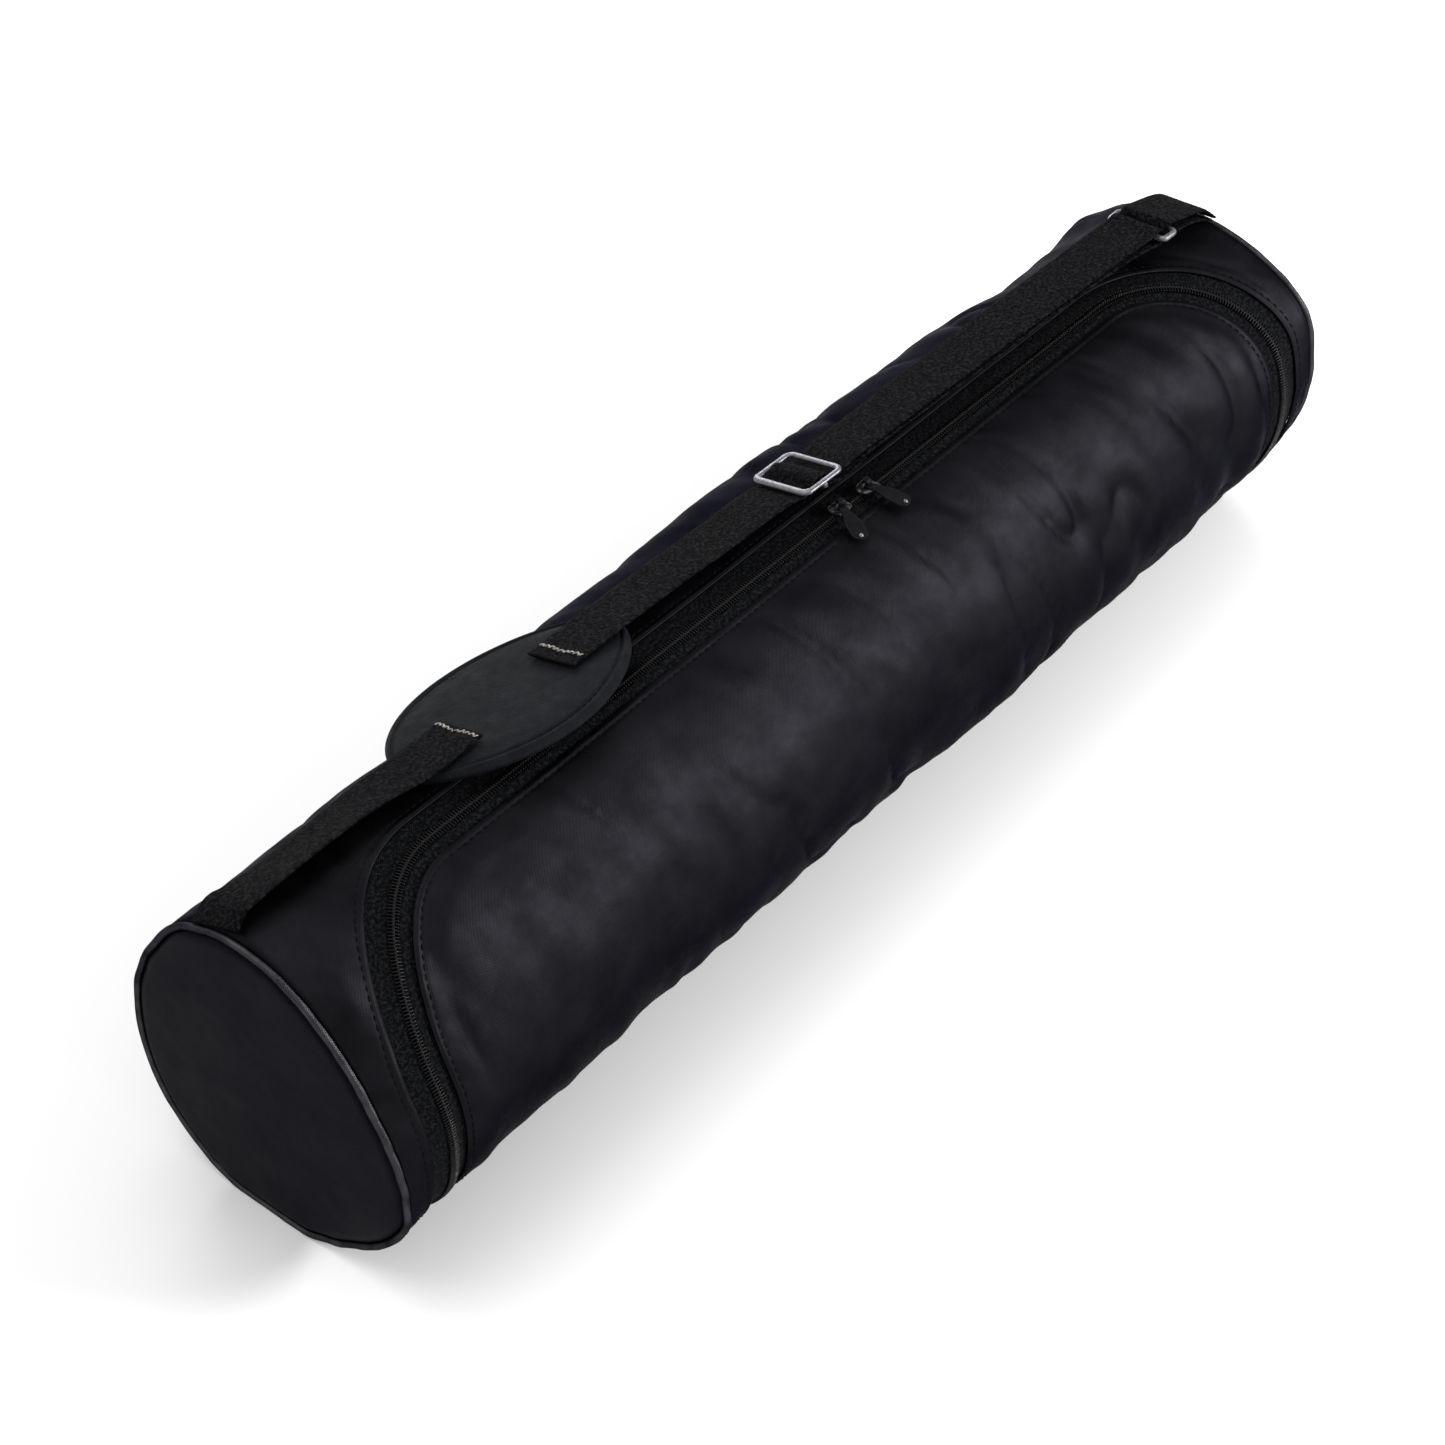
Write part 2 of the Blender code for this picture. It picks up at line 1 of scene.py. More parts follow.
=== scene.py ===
"""Visual model of the soft zipped drawing tube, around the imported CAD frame. Lengths in metres."""
from math import cos, degrees, pi, radians, sin

import bpy
import numpy as np
from mathutils import Euler, Matrix, Vector


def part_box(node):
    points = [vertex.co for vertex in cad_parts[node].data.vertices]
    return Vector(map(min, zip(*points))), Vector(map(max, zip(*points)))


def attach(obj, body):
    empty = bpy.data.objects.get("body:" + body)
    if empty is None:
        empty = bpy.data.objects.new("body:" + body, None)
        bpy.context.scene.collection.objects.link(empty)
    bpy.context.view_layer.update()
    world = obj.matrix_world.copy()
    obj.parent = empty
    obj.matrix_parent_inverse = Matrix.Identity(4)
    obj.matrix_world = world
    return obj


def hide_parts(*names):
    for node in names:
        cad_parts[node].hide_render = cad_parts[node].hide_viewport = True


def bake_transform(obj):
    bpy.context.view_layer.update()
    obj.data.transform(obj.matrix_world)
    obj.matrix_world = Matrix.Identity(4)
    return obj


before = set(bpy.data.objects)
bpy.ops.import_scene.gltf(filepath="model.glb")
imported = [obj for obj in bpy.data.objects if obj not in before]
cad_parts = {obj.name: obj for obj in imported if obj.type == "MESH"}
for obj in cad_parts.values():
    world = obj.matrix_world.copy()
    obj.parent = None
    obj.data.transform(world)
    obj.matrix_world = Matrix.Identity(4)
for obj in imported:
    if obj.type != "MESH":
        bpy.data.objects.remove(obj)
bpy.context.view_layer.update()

MM = 0.001
AWAY = 0.05  # a distance from an edge at which it no longer counts

# The CAD model's driving dimensions, and the soft pieces' own. s is the arc from the front upwards
LENGTH = 0.66
END_X = LENGTH / 2
RADIUS = 0.0785
AXIS_Z = 0.0825
CLOTH = 0.0016
TURN = 2 * pi * RADIUS
ZIP_TOP = 0.1154
ZIP_HALF = 0.301
CORNER_X = 0.068  # the zip's corners are quarter ellipses
CORNER_S = 0.085
HINGE_S = radians(-50.0) * RADIUS
LEG_FOOT = HINGE_S + 0.01
SEAM_GAP = 0.0012  # from the hinge seam to each cloth edge
RIM_INSET = 0.004  # from the bag's end to the sleeve's edge
BODY_EDGE = 0.012  # the cloth edges, out from the teeth line
FLAP_EDGE = -0.0085
TAPE_LEVEL = -0.002
WEBBING_WIDTH = 0.028  # the soft webbing draws in a little from its 30 mm
WEBBING = 0.0014
# The carry strap's straight line, from the pad to the ring
LINE_START = np.array((-0.09, 0.0195, 0.086))
LINE_END = np.array((0.2805, 0.0035, 0.0935))
PAD_X = -0.153
PAD_S = radians(101.5) * RADIUS
PAD_HALF = (0.0655, 0.04)
PAD_POINT = 0.66
PAD_BACK = 0.048  # the soft pad's back edge sags out past its CAD solid
PAD_CHANNEL = 0.0052  # from the pad's rim to its stitched channel
PAD_ROLL = -17.5
PAD_BEND = 0.5
PAD_OUT = 0.0043
STRAP_REST = 0.0052
ADJUSTER_X = 0.034
STRAP_ROLL = ((-0.09, -17.5), (ADJUSTER_X, -16.0), (0.15, -10.0), (0.285, -5.5))
SETTLE = 0.0014  # how far the loaded strap sits below its straight line at the ring
BARTACKS = {"bartack_near": -0.1879, "bartack_far": -0.122}
SLIDERS = {"near": 0.037, "far": 0.056}
BAIL = 5.0  # millimetres, as the sliders and pulls are made
PULL_LIFT = {"near": radians(5.0), "far": radians(10.0)}
PULL_YAW = {"near": radians(-24.0), "far": radians(8.0)}
PULL_DROOP = 2.6
RING_BARS = (0.2805, 0.2895)
ROD = 0.0015
LOOP = ROD + 0.0006 + WEBBING / 2
LOOSE = LOOP + 0.001  # the webbing turns round the ring's bars a little slackly

# Soft bulges and dents in millimetres, as (degrees, amount) round the tube and
# (x, amount) along its lower front and upper back
UNDERSIDE = ((-50, 0), (225, 0), (262, 5.5), (275, 5.5), (305, 0), (310, 0))
NEAR_RIM = ((-50, 0), (-24, 1.2), (-5, 0), (125, 0), (140, -0.5), (156, 1.5), (170, 3),
            (225, 3.5), (240, 2.5), (250, 0.8), (262, -1), (285, -1), (297, 1), (310, 0))
NEAR_SEAM = ((-50, 2.2), (-24, 0.5), (-8, -2.5), (0, -5), (12, -7.5), (25, -9), (45, -8),
             (60, -7), (72, -5.5), (85, -3.8), (110, -1.5), (122, 0), (297, 1), (310, 2.2))
FAR_RIM = ((-50, 0), (-24, -4.8), (0, -4), (12, -2.5), (36, 2.5), (60, 0.3), (78, 0),
           (105, 0), (120, -4.5), (135, -5.3), (156, -0.3), (175, 3), (240, 0), (310, 0))
LOWER_FRONT = ((-0.33, 0), (-0.29, 0), (-0.26, -1.6), (-0.22, -1.1), (-0.165, -2.6),
               (-0.11, -0.4), (-0.06, -1.3), (0, -1.5), (0.05, 0.5), (0.08, 1.2), (0.13, 0.4),
               (0.165, -0.9), (0.2, -0.6), (0.25, 0.2), (0.29, 0.9), (0.31, 2.5), (0.33, 1))
UPPER_BACK = ((-0.33, 0), (-0.3, -0.9), (-0.2, -0.4), (-0.12, 2.5), (-0.06, 3.6), (0.06, 3.7),
              (0.1, 2), (0.15, -0.2), (0.21, -1.7), (0.25, -6), (0.29, -6), (0.33, -1))
RIM_FADE = (0.13, 0.022, 0.05)

# The CAD model was recentred sideways: the ring's middle gives the shift
RING_LOW, RING_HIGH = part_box("ring")
SHIFT_Y = (RING_LOW[1] + RING_HIGH[1]) / 2 - LINE_END[1]


# ---- noise and surface ----

def value_noise(u, v, seed):
    """Smooth two-dimensional noise from -1 to 1, the same on every run."""
    table = np.random.default_rng(seed).uniform(-1.0, 1.0, (64, 64))
    u, v = np.asarray(u, float), np.asarray(v, float)
    iu, iv = np.floor(u).astype(int), np.floor(v).astype(int)
    fu, fv = u - iu, v - iv
    fu, fv = fu * fu * (3 - 2 * fu), fv * fv * (3 - 2 * fv)

    def at(du, dv):
        return table[(iu + du) % 64, (iv + dv) % 64]
    low = at(0, 0) * (1 - fu) + at(1, 0) * fu
    high = at(0, 1) * (1 - fu) + at(1, 1) * fu
    return low * (1 - fv) + high * fv


def smooth(low, high, value):
    f = np.clip((value - low) / (high - low), 0, 1)
    return f * f * (3 - 2 * f)


def through(table, value):
    """Smooth curve through a table of (place, amount)."""
    places, amounts = np.array(table).T
    k = np.clip(np.searchsorted(places, value) - 1, 0, len(places) - 2)
    return amounts[k] + (amounts[k + 1] - amounts[k]) * smooth(places[k], places[k + 1], value)


def bulge(x, angle):
    """Soft departures from the plain section, none at the zip's top run or at the hinge."""
    turned = (np.degrees(angle) + 50.0) % 360.0 - 50.0
    near = 1 - smooth(0, RIM_FADE[0], x + END_X)
    seam = 1 - smooth(0, RIM_FADE[1], x + END_X)
    far = 1 - smooth(0, RIM_FADE[2], END_X - x)
    low = smooth(-50.0, -20.0, turned) * (1 - smooth(-20.0, 45.0, turned)) / 0.7
    back = smooth(104.0, 135.0, turned) * (1 - smooth(150.0, 195.0, turned))
    total = (near * through(NEAR_RIM, turned) + seam * through(NEAR_SEAM, turned)
             + far * through(FAR_RIM, turned) + through(UNDERSIDE, turned)
             + low * through(LOWER_FRONT, x) + back * through(UPPER_BACK, x))
    return total / 1000


def section(x, angle):
    """Radius of the cloth: the near end is pulled oval and the far end is narrower."""
    along = (x + END_X) / LENGTH
    near = 1 - 0.029 * np.cos(2 * angle) + 0.027 * np.cos(3 * angle) - 0.022 * np.sin(3 * angle)
    far = 0.98 + 0.045 * np.sin(3 * angle) * (0.6 + 0.4 * np.cos(angle - 1.0))
    return RADIUS * ((1 - along) * near + along * far) + bulge(x, angle)


def swell(x, angle):
    """Small slow waves of the soft tube. The rims and the zip's top run stay put."""
    rims = smooth(0, 0.07, END_X - np.abs(x))
    wave = 0.0005 * np.sin(47.0 * x - 1.2 + 1.9 * np.sin(angle))
    away = smooth(0, 25.0, np.abs(np.degrees(angle) % 360.0 - 84.2))
    return wave * rims * (0.2 + 0.8 * away)


def skin(x, s, out):
    """Points on the cloth at arc s from the front upwards, raised by out and resting on the floor."""
    x, s, out = np.broadcast_arrays(np.asarray(x, float), np.asarray(s, float), np.asarray(out, float))
    angle = s / RADIUS
    r = section(x, angle) + swell(x, angle) + out
    z = AXIS_Z + r * np.sin(angle)
    floor = np.maximum(-out, 0.0)
    z = floor + 0.5 * (z - floor + np.sqrt((z - floor) ** 2 + 0.0012 ** 2))
    return np.stack([x, SHIFT_Y - r * np.cos(angle), z], axis=-1)


# ---- mesh helpers ----

def path_length(points):
    """How far along a path each of its points lies."""
    return np.concatenate([[0.0], np.cumsum(np.linalg.norm(np.diff(points, axis=0), axis=1))])


def interp_rows(at, known, rows):
    """Rows of numbers interpolated column by column."""
    return np.stack([np.interp(at, known, column) for column in rows.T], axis=1)


def full_turn(count):
    return np.linspace(0, 2 * pi, count, endpoint=False)


def unit(vectors):
    return vectors / np.linalg.norm(vectors, axis=-1, keepdims=True)


def corners(grid):
    """The four corners of each cell of a grid, in turn."""
    return np.stack([grid[:-1, :-1], grid[:-1, 1:], grid[1:, 1:], grid[1:, :-1]], axis=2)


def wrapped(index):
    """A grid of indices whose rows are rings: the first column comes again at the end."""
    return np.hstack([index, index[:, :1]])


def add_to_scene(name, data):
    obj = bpy.data.objects.new(name, data)
    bpy.context.scene.collection.objects.link(obj)
    return obj


def declare(obj, body, slot, *nodes):
    """The body a piece rides on and the CAD nodes it stands for, which are hidden. slot, the finish it takes,
    is not used.
    """
    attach(obj, body)
    if nodes:
        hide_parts(*nodes)


def make_object(name, verts, faces, materials, uvs=None, indices=None):
    """A smooth-shaded mesh object. uvs holds one (u, v) for each corner of each face."""
    mesh = bpy.data.meshes.new(name)
    mesh.from_pydata(np.asarray(verts).reshape(-1, 3).tolist(), [], [list(map(int, f)) for f in faces])
    mesh.polygons.foreach_set("use_smooth", [True] * len(mesh.polygons))
    if uvs is not None:
        mesh.uv_layers.new(name="Cloth").data.foreach_set("uv", np.asarray(uvs, float).ravel())
    for material in materials:
        mesh.materials.append(material)
    if indices is not None:
        mesh.polygons.foreach_set("material_index", indices)
    mesh.update()
    return add_to_scene(name, mesh)


def layer(name, grid, outer, inner, materials, surface=skin, present=None, closed=False):
    """A closed cloth layer over a grid of (x, s) points, with its own outer and inner heights."""
    rows, cols = grid.shape[:2]
    base = rows * cols
    x, s = grid[..., 0], grid[..., 1]
    verts = np.vstack([surface(x, s, height).reshape(-1, 3) for height in (outer, inner)])
    index, uv = np.arange(base).reshape(rows, cols), grid
    if closed:
        index = np.vstack([index, index[:1]])
        uv = np.vstack([uv, uv[:1] + (0.0, TURN)])
    cells = (len(index) - 1, cols - 1)
    mask = np.ones(cells, bool) if present is None else present(*np.indices(cells))
    faces, face_uv = corners(index)[mask], corners(uv)[mask]
    padded = np.pad(mask, 1)
    if closed:
        padded[0], padded[-1] = padded[-2], padded[1]
    walls, wall_uv = [], []
    sides = (((0, 0), (0, 1), (-1, 0)), ((0, 1), (1, 1), (0, 1)),
             ((1, 1), (1, 0), (1, 0)), ((1, 0), (0, 0), (0, -1)))
    for a, b, (down, right) in sides:
        beside = padded[1 + down:1 + down + cells[0], 1 + right:1 + right + cells[1]]
        i, j = np.nonzero(mask & ~beside)
        start, stop = (i + a[0], j + a[1]), (i + b[0], j + b[1])
        p, q = index[start], index[stop]
        walls.append(np.stack([p, p + base, q + base, q], axis=1))
        wall_uv.append(np.stack([uv[start], uv[start], uv[stop], uv[stop]], axis=1))
    all_faces = np.vstack([faces, faces[:, ::-1] + base, *walls])
    all_uv = np.vstack([face_uv, face_uv[:, ::-1], *wall_uv])
    used, renumbered = np.unique(all_faces, return_inverse=True)
    lining = len(materials) - 1
    indices = [0] * len(faces) + [lining] * len(faces) + [0] * (len(all_faces) - 2 * len(faces))
    return make_object(name, verts[used], renumbered.reshape(all_faces.shape), materials, all_uv, indices)


def loft(rings, closed=False, first=0, uv=None):
    """Quads between equal rings of points: vertices, faces and corner uvs along and around.

    Open ends are capped, round a middle point unless the loft comes with its own uv.
    """
    rings = np.asarray(rings, float)
    n, k = rings.shape[:2]
    verts, index = rings.reshape(-1, 3), wrapped(np.arange(n * k).reshape(n, k) + first)
    ends = [] if closed else [index[0, ::-1], index[-1]]
    along = path_length(rings.mean(axis=1))
    if closed:
        index = np.vstack([index, index[:1]])
        along = np.append(along, along[-1] + along[1])
    if uv is None:
        around = path_length(np.vstack([rings[n // 2], rings[n // 2][:1]]))
        grid = np.stack(np.meshgrid(along, around, indexing="ij"), axis=-1)
        verts = np.vstack([verts, rings[0].mean(axis=0), rings[-1].mean(axis=0)][:len(ends) + 1])
        caps = [(a, b, hub) for hub, row in enumerate(ends, first + n * k) for a, b in zip(row[:-1], row[1:])]
    else:
        grid, caps = uv, [row[:-1] for row in ends]
    uvs = corners(grid).reshape(-1, 2).tolist() + [(0.0, 0.0)] * sum(map(len, caps))
    return verts, [*corners(index).reshape(-1, 4), *caps], uvs


def loft_object(name, parts, material, uv=None):
    """One object from several lofts, given as (rings, closed) pairs."""
    verts, faces, uvs = np.zeros((0, 3)), [], []
    for rings, closed in parts:
        more = loft(rings, closed, len(verts), uv)
        verts = np.vstack([verts, more[0]])
        faces += more[1]
        uvs += more[2]
    return make_object(name, verts, faces, [material], uvs)


def tube_rings(points, radius, up=(0.0, 0.0, 1.0), sides=12, closed=False, flat=1.0):
    """Circular or flattened rings round a path; radius may vary along it."""
    points = np.asarray(points, float)
    if closed:
        ahead = np.roll(points, -1, axis=0) - np.roll(points, 1, axis=0)
    else:
        ahead = np.gradient(points, axis=0)
    tangent = unit(ahead)
    side = unit(np.cross(tangent, up))
    rise = np.cross(side, tangent)
    turn = full_turn(sides)[None, :, None]
    radius = np.broadcast_to(radius, len(points))[:, None, None]
    return points[:, None] + radius * (side[:, None] * np.cos(turn) + flat * rise[:, None] * np.sin(turn))


def spline(points, spacing):
    """Catmull-Rom curve through rows of numbers, resampled to even steps of the first three."""
    p = np.asarray(points, float)
    p = np.vstack([2 * p[0] - p[1], p, 2 * p[-1] - p[-2]])
    t = np.linspace(0, 1, 24, endpoint=False)[:, None]
    parts = []
    for a, b, c, d in zip(p[:-3], p[1:-2], p[2:-1], p[3:]):
        parts.append(0.5 * (2 * b + (c - a) * t + (2 * a - 5 * b + 4 * c - d) * t ** 2
                            + (3 * b - a - 3 * c + d) * t ** 3))
    curve = np.vstack(parts + [p[-2:-1]])
    length = path_length(curve[:, :3])
    even = np.linspace(0, length[-1], max(2, int(length[-1] / spacing) + 1))
    return interp_rows(even, length, curve)


# ---- materials ----

class Shader:
    """A Principled material and short ways to add nodes to it."""

    def __init__(self, name, colour, roughness, metallic=0.0, **extra):
        self.material = bpy.data.materials.new(name)
        self.material.use_nodes = True
        self.tree = self.material.node_tree
        self.bsdf = self.tree.nodes["Principled BSDF"]
        settings = {"Base Color": (*colour, 1.0), "Roughness": roughness, "Metallic": metallic, **extra}
        for key, value in settings.items():
            self.bsdf.inputs[key.replace("_", " ")].default_value = value

    def node(self, kind, inputs=(), output=0, **props):
        """Add a node, set or link its inputs, and return one of its outputs."""
        made, links = self.tree.nodes.new(kind), self.tree.links
        for key, value in props.items():
            setattr(made, key, value)
        for key, value in dict(inputs).items():
            if hasattr(value, "links"):
                links.new(value, made.inputs[key])
            else:
                made.inputs[key].default_value = value
        return made.outputs[output]

    def link(self, value, socket):
        self.tree.links.new(value, self.bsdf.inputs[socket])

    def math(self, operation, a, b=0.0):
        return self.node("ShaderNodeMath", {0: a, 1: b}, operation=operation)

    def millimetres(self, vector):
        return self.node("ShaderNodeVectorMath", {0: vector, "Scale": 1000.0}, operation="SCALE")

    def uv(self):
        """The cloth's own millimetres, along and across."""
        return self.millimetres(self.node("ShaderNodeUVMap", uv_map="Cloth"))

    def local(self):
        """The piece's own millimetres, for pieces with no unrolled pattern."""
        return self.millimetres(self.node("ShaderNodeTexCoord", output="Object"))

    def noise(self, vector, size, detail=3.0, rough=0.55):
        """Noise with features of about size millimetres."""
        settings = {"Vector": vector, "Scale": 1.0 / size, "Detail": detail, "Roughness": rough}
        return self.node("ShaderNodeTexNoise", settings)

    def weave(self, vector, pitch_u, pitch_v):
        """Plain weave: threads rise and fall in turn."""
        waves = []
        for k, pitch in enumerate((pitch_u, pitch_v)):
            along = self.node("ShaderNodeSeparateXYZ", {0: vector}, k)
            waves.append(self.math("SINE", self.math("MULTIPLY", along, 2 * pi / pitch)))
        return self.math("MULTIPLY", *waves)

    def ramp(self, value, low, high, start=0.3, end=0.7):
        return self.node("ShaderNodeMapRange", {0: value, 1: start, 2: end, 3: low, 4: high})

    def tint(self, value, low, high, start=0.3, end=0.7):
        """Base colour that runs between two colours with the value."""
        factor = self.ramp(value, 0.0, 1.0, start, end)
        ends = {0: factor, 6: (*low, 1.0), 7: (*high, 1.0)}
        self.link(self.node("ShaderNodeMix", ends, 2, data_type="RGBA"), "Base Color")

    def rough(self, value, low, high, start=0.3, end=0.7):
        self.link(self.ramp(value, low, high, start, end), "Roughness")

    def bump(self, *heights):
        """Stack bumps given as (height, depth in millimetres), and hand over the material."""
        below = {}
        for height, depth in heights:
            inputs = {"Height": height, "Strength": 1.0, "Distance": depth / 1000.0, **below}
            below = {"Normal": self.node("ShaderNodeBump", inputs)}
        self.link(below["Normal"], "Normal")
        return self.material


def coat(name, dark, light, roughness, cloud, bumps, gloss=None, span=(0.3, 0.7), weave=None, **extra):
    """A clouded, finely bumped material: woven in the cloth's own pattern, or grained in the piece.

    cloud is the colour's noise, bumps are (noise, depth), gloss is a noise and the roughness it
    runs between, and weave is its two pitches and its depth. All lengths are in millimetres.
    """
    shader = Shader(name, dark, roughness, **extra)
    where = shader.uv() if weave else shader.local()
    shader.tint(shader.noise(where, *cloud), dark, light, *span)
    if gloss:
        shader.rough(shader.noise(where, *gloss[0]), *gloss[1:])
    heights = [(shader.noise(where, *noise), depth) for noise, depth in bumps]
    if weave:
        heights.append((shader.weave(where, *weave[:2]), weave[2]))
    return shader.bump(*heights)


def nylon(name, dark, light, roughness):
    """Satin nylon: fine plain weave, crushed in places, with slight changes of shade.

    Black nylon shows almost only its gloss, so it is all reflection, and the tint keeps it from
    whitening where it is seen edge on.
    """
    return coat(name, dark, light, roughness, (30, 4, 0.6), [((14, 3, 0.5), 0.22), ((2.4, 3), 0.04)],
                ((18, 5, 0.6), roughness - 0.06, roughness + 0.12), weave=(0.9, 0.9, 0.03),
                metallic=1.0, Specular_Tint=(0.42, 0.42, 0.44, 1.0))


def thread(name, dark, light, gloss):
    return coat(name, dark, light, 0.7, (1.2, 3), [((0.3, 2), 0.05)], Specular_IOR_Level=gloss)


def tooth_nylon():
    """Black coil nylon, shiny where it has been rubbed."""
    shader = Shader("tooth_nylon", (0.005, 0.005, 0.006), 0.4, Specular_IOR_Level=0.14)
    where = shader.local()
    shader.rough(shader.noise(where, 2.2), 0.12, 0.62, 0.42, 0.62)
    return shader.bump((shader.noise(where, 0.6, 2), 0.03))


def pad_leather():
    """Smooth imitation leather with small creases between its cells."""
    dark, light = (0.005, 0.0058, 0.0074), (0.0086, 0.0096, 0.0118)
    shader = Shader("pad_leather", dark, 0.62, Specular_IOR_Level=0.03)
    uv = shader.uv()
    cells = shader.node("ShaderNodeTexVoronoi", {"Vector": uv, "Scale": 0.85}, feature="DISTANCE_TO_EDGE")
    shader.tint(shader.noise(uv, 9, 5), dark, light)
    shader.rough(shader.noise(uv, 6, 4), 0.55, 0.7)
    creases = shader.ramp(cells, 0.0, 1.0, 0.0, 0.25)
    return shader.bump((shader.noise(uv, 7), 0.5), (creases, 0.12))


CLOTH_MAT = nylon("body_nylon", (0.0082, 0.008, 0.0098), (0.0136, 0.0134, 0.016), 0.5)
LINING = nylon("lining_nylon", (0.016, 0.016, 0.018), (0.026, 0.026, 0.029), 0.6)
END_CLOTH = coat("end_cloth", (0.0016, 0.0016, 0.0036), (0.0032, 0.0032, 0.006), 0.6, (2, 5, 0.7),
                 [((34, 2), 0.6), ((0.9, 2), 0.05)], ((26, 3), 0.56, 0.66),
                 Specular_IOR_Level=0.04, Specular_Tint=(0.84, 0.84, 1.0, 1.0))
PIPING = coat("piping_cloth", (0.024, 0.024, 0.028), (0.062, 0.062, 0.068), 0.34, (10, 4), [((5, 3), 0.3)],
              weave=(0.8, 0.8, 0.05), metallic=1.0, Specular_Tint=(0.32, 0.32, 0.34, 1.0))
TAPE = coat("tape_cloth", (0.0014, 0.0016, 0.0022), (0.0125, 0.013, 0.015), 0.82, (1.6, 4, 0.7),
            [((0.7, 2), 0.08)], span=(0.46, 0.66), weave=(1.1, 1.1, 0.12), Specular_IOR_Level=0.035)
TEETH = tooth_nylon()
ENAMEL = coat("enamel", (0.016, 0.016, 0.018), (0.1, 0.1, 0.105), 0.3, (1.6, 5, 0.7),
              [((0.8, 2), 0.02)], ((2.5, 3), 0.22, 0.42), (0.5, 0.8), metallic=0.6, Coat_Weight=0.3)
PULL = coat("pull_plastic", (0.002, 0.002, 0.0028), (0.0048, 0.0048, 0.006), 0.45, (4, 4),
            [((0.35, 2), 0.03)], ((3, 3), 0.36, 0.54), Specular_IOR_Level=0.08)
# The webbing's ribs are in its mesh, and its yarns and fuzz in the bump
WEBBING_MAT = coat("webbing_cloth", (0.001, 0.001, 0.0013), (0.017, 0.0166, 0.0185), 0.78, (1.8, 4, 0.75),
                   [((1.3, 4, 0.7), 0.35)], ((5, 4), 0.62, 0.85), (0.46, 0.66), (0.55, 0.8, 0.1),
                   Specular_IOR_Level=0.03, Specular_Tint=(0.9, 0.9, 1.0, 1.0))
PAD = pad_leather()
PALE_THREAD = thread("pale_thread", (0.07, 0.064, 0.056), (0.46, 0.43, 0.38), 0.3)
DARK_THREAD = thread("dark_thread", (0.002, 0.002, 0.0026), (0.0055, 0.0055, 0.0065), 0.05)
METAL = coat("grey_metal", (0.1, 0.1, 0.115), (0.22, 0.22, 0.24), 0.4, (3, 5, 0.65),
             [((0.5, 3), 0.03)], ((1.2, 4), 0.28, 0.5), metallic=0.7)
FOAM = coat("foam", (0.03, 0.03, 0.032), (0.07, 0.07, 0.072), 0.95, (1.5, 4), [((0.8, 3), 0.4)])
BINDING = coat("binding_tape", (0.008, 0.008, 0.009), (0.018, 0.018, 0.019), 0.8, (4, 4), [((0.8, 3), 0.2)])


# ---- zip path and edges ----

def edge_offset(x, s):
    """Signed distance outside the teeth line, unrolled."""
    ax = np.abs(x)
    cx, cs = ZIP_HALF - CORNER_X, ZIP_TOP - CORNER_S
    u, v = np.maximum(ax - cx, 0.0), np.maximum(s - cs, 0.0)
    leg, top = ax - ZIP_HALF, s - ZIP_TOP
    off = np.zeros(np.broadcast(u, v).shape)
    for _ in range(12):
        a, b = np.maximum(CORNER_X + off, 1e-3), np.maximum(CORNER_S + off, 1e-3)
        f = (u / a) ** 2 + (v / b) ** 2 - 1
        slope = -2 * u ** 2 / a ** 3 - 2 * v ** 2 / b ** 3 - 1e-9
        off = np.clip(off - np.clip(f / slope, -0.02, 0.02), -0.066, 0.3)
    return np.where(s <= cs, leg, np.where(ax <= cx, top, off))


def half_width(s, off):
    """Half length of the U at arc s, off outside the teeth line."""
    a, b = CORNER_X + off, CORNER_S + off
    v = np.clip((s - (ZIP_TOP - CORNER_S)) / b, 0, 1)
    return ZIP_HALF - CORNER_X + a * np.sqrt(1 - v * v)


def zip_curve(off, foot, spacing):
    """Even steps along the U at this offset, as x, s and the unit direction."""
    turn = np.linspace(0, pi / 2, 160)
    right = np.stack([ZIP_HALF - CORNER_X + (CORNER_X + off) * np.cos(turn),
                      ZIP_TOP - CORNER_S + (CORNER_S + off) * np.sin(turn)], axis=1)
    right = np.vstack([[ZIP_HALF + off, foot], right])
    points = np.vstack([right * (-1, 1), right[::-1]])
    length = path_length(points)
    path = interp_rows(np.linspace(0, length[-1], int(length[-1] / spacing) + 1), length, points)
    return path, unit(np.gradient(path, axis=0))


def hem(depth):
    """Relief of a turned and stitched cloth edge, by distance in from it."""
    roll = -0.0006 * (1 - smooth(0, 0.0018, depth))
    stitch = -0.0003 * np.exp(-((depth - 0.0034) / 0.0009) ** 2)
    puff = 0.0008 * smooth(0.0034, 0.014, depth)
    return roll + stitch + puff


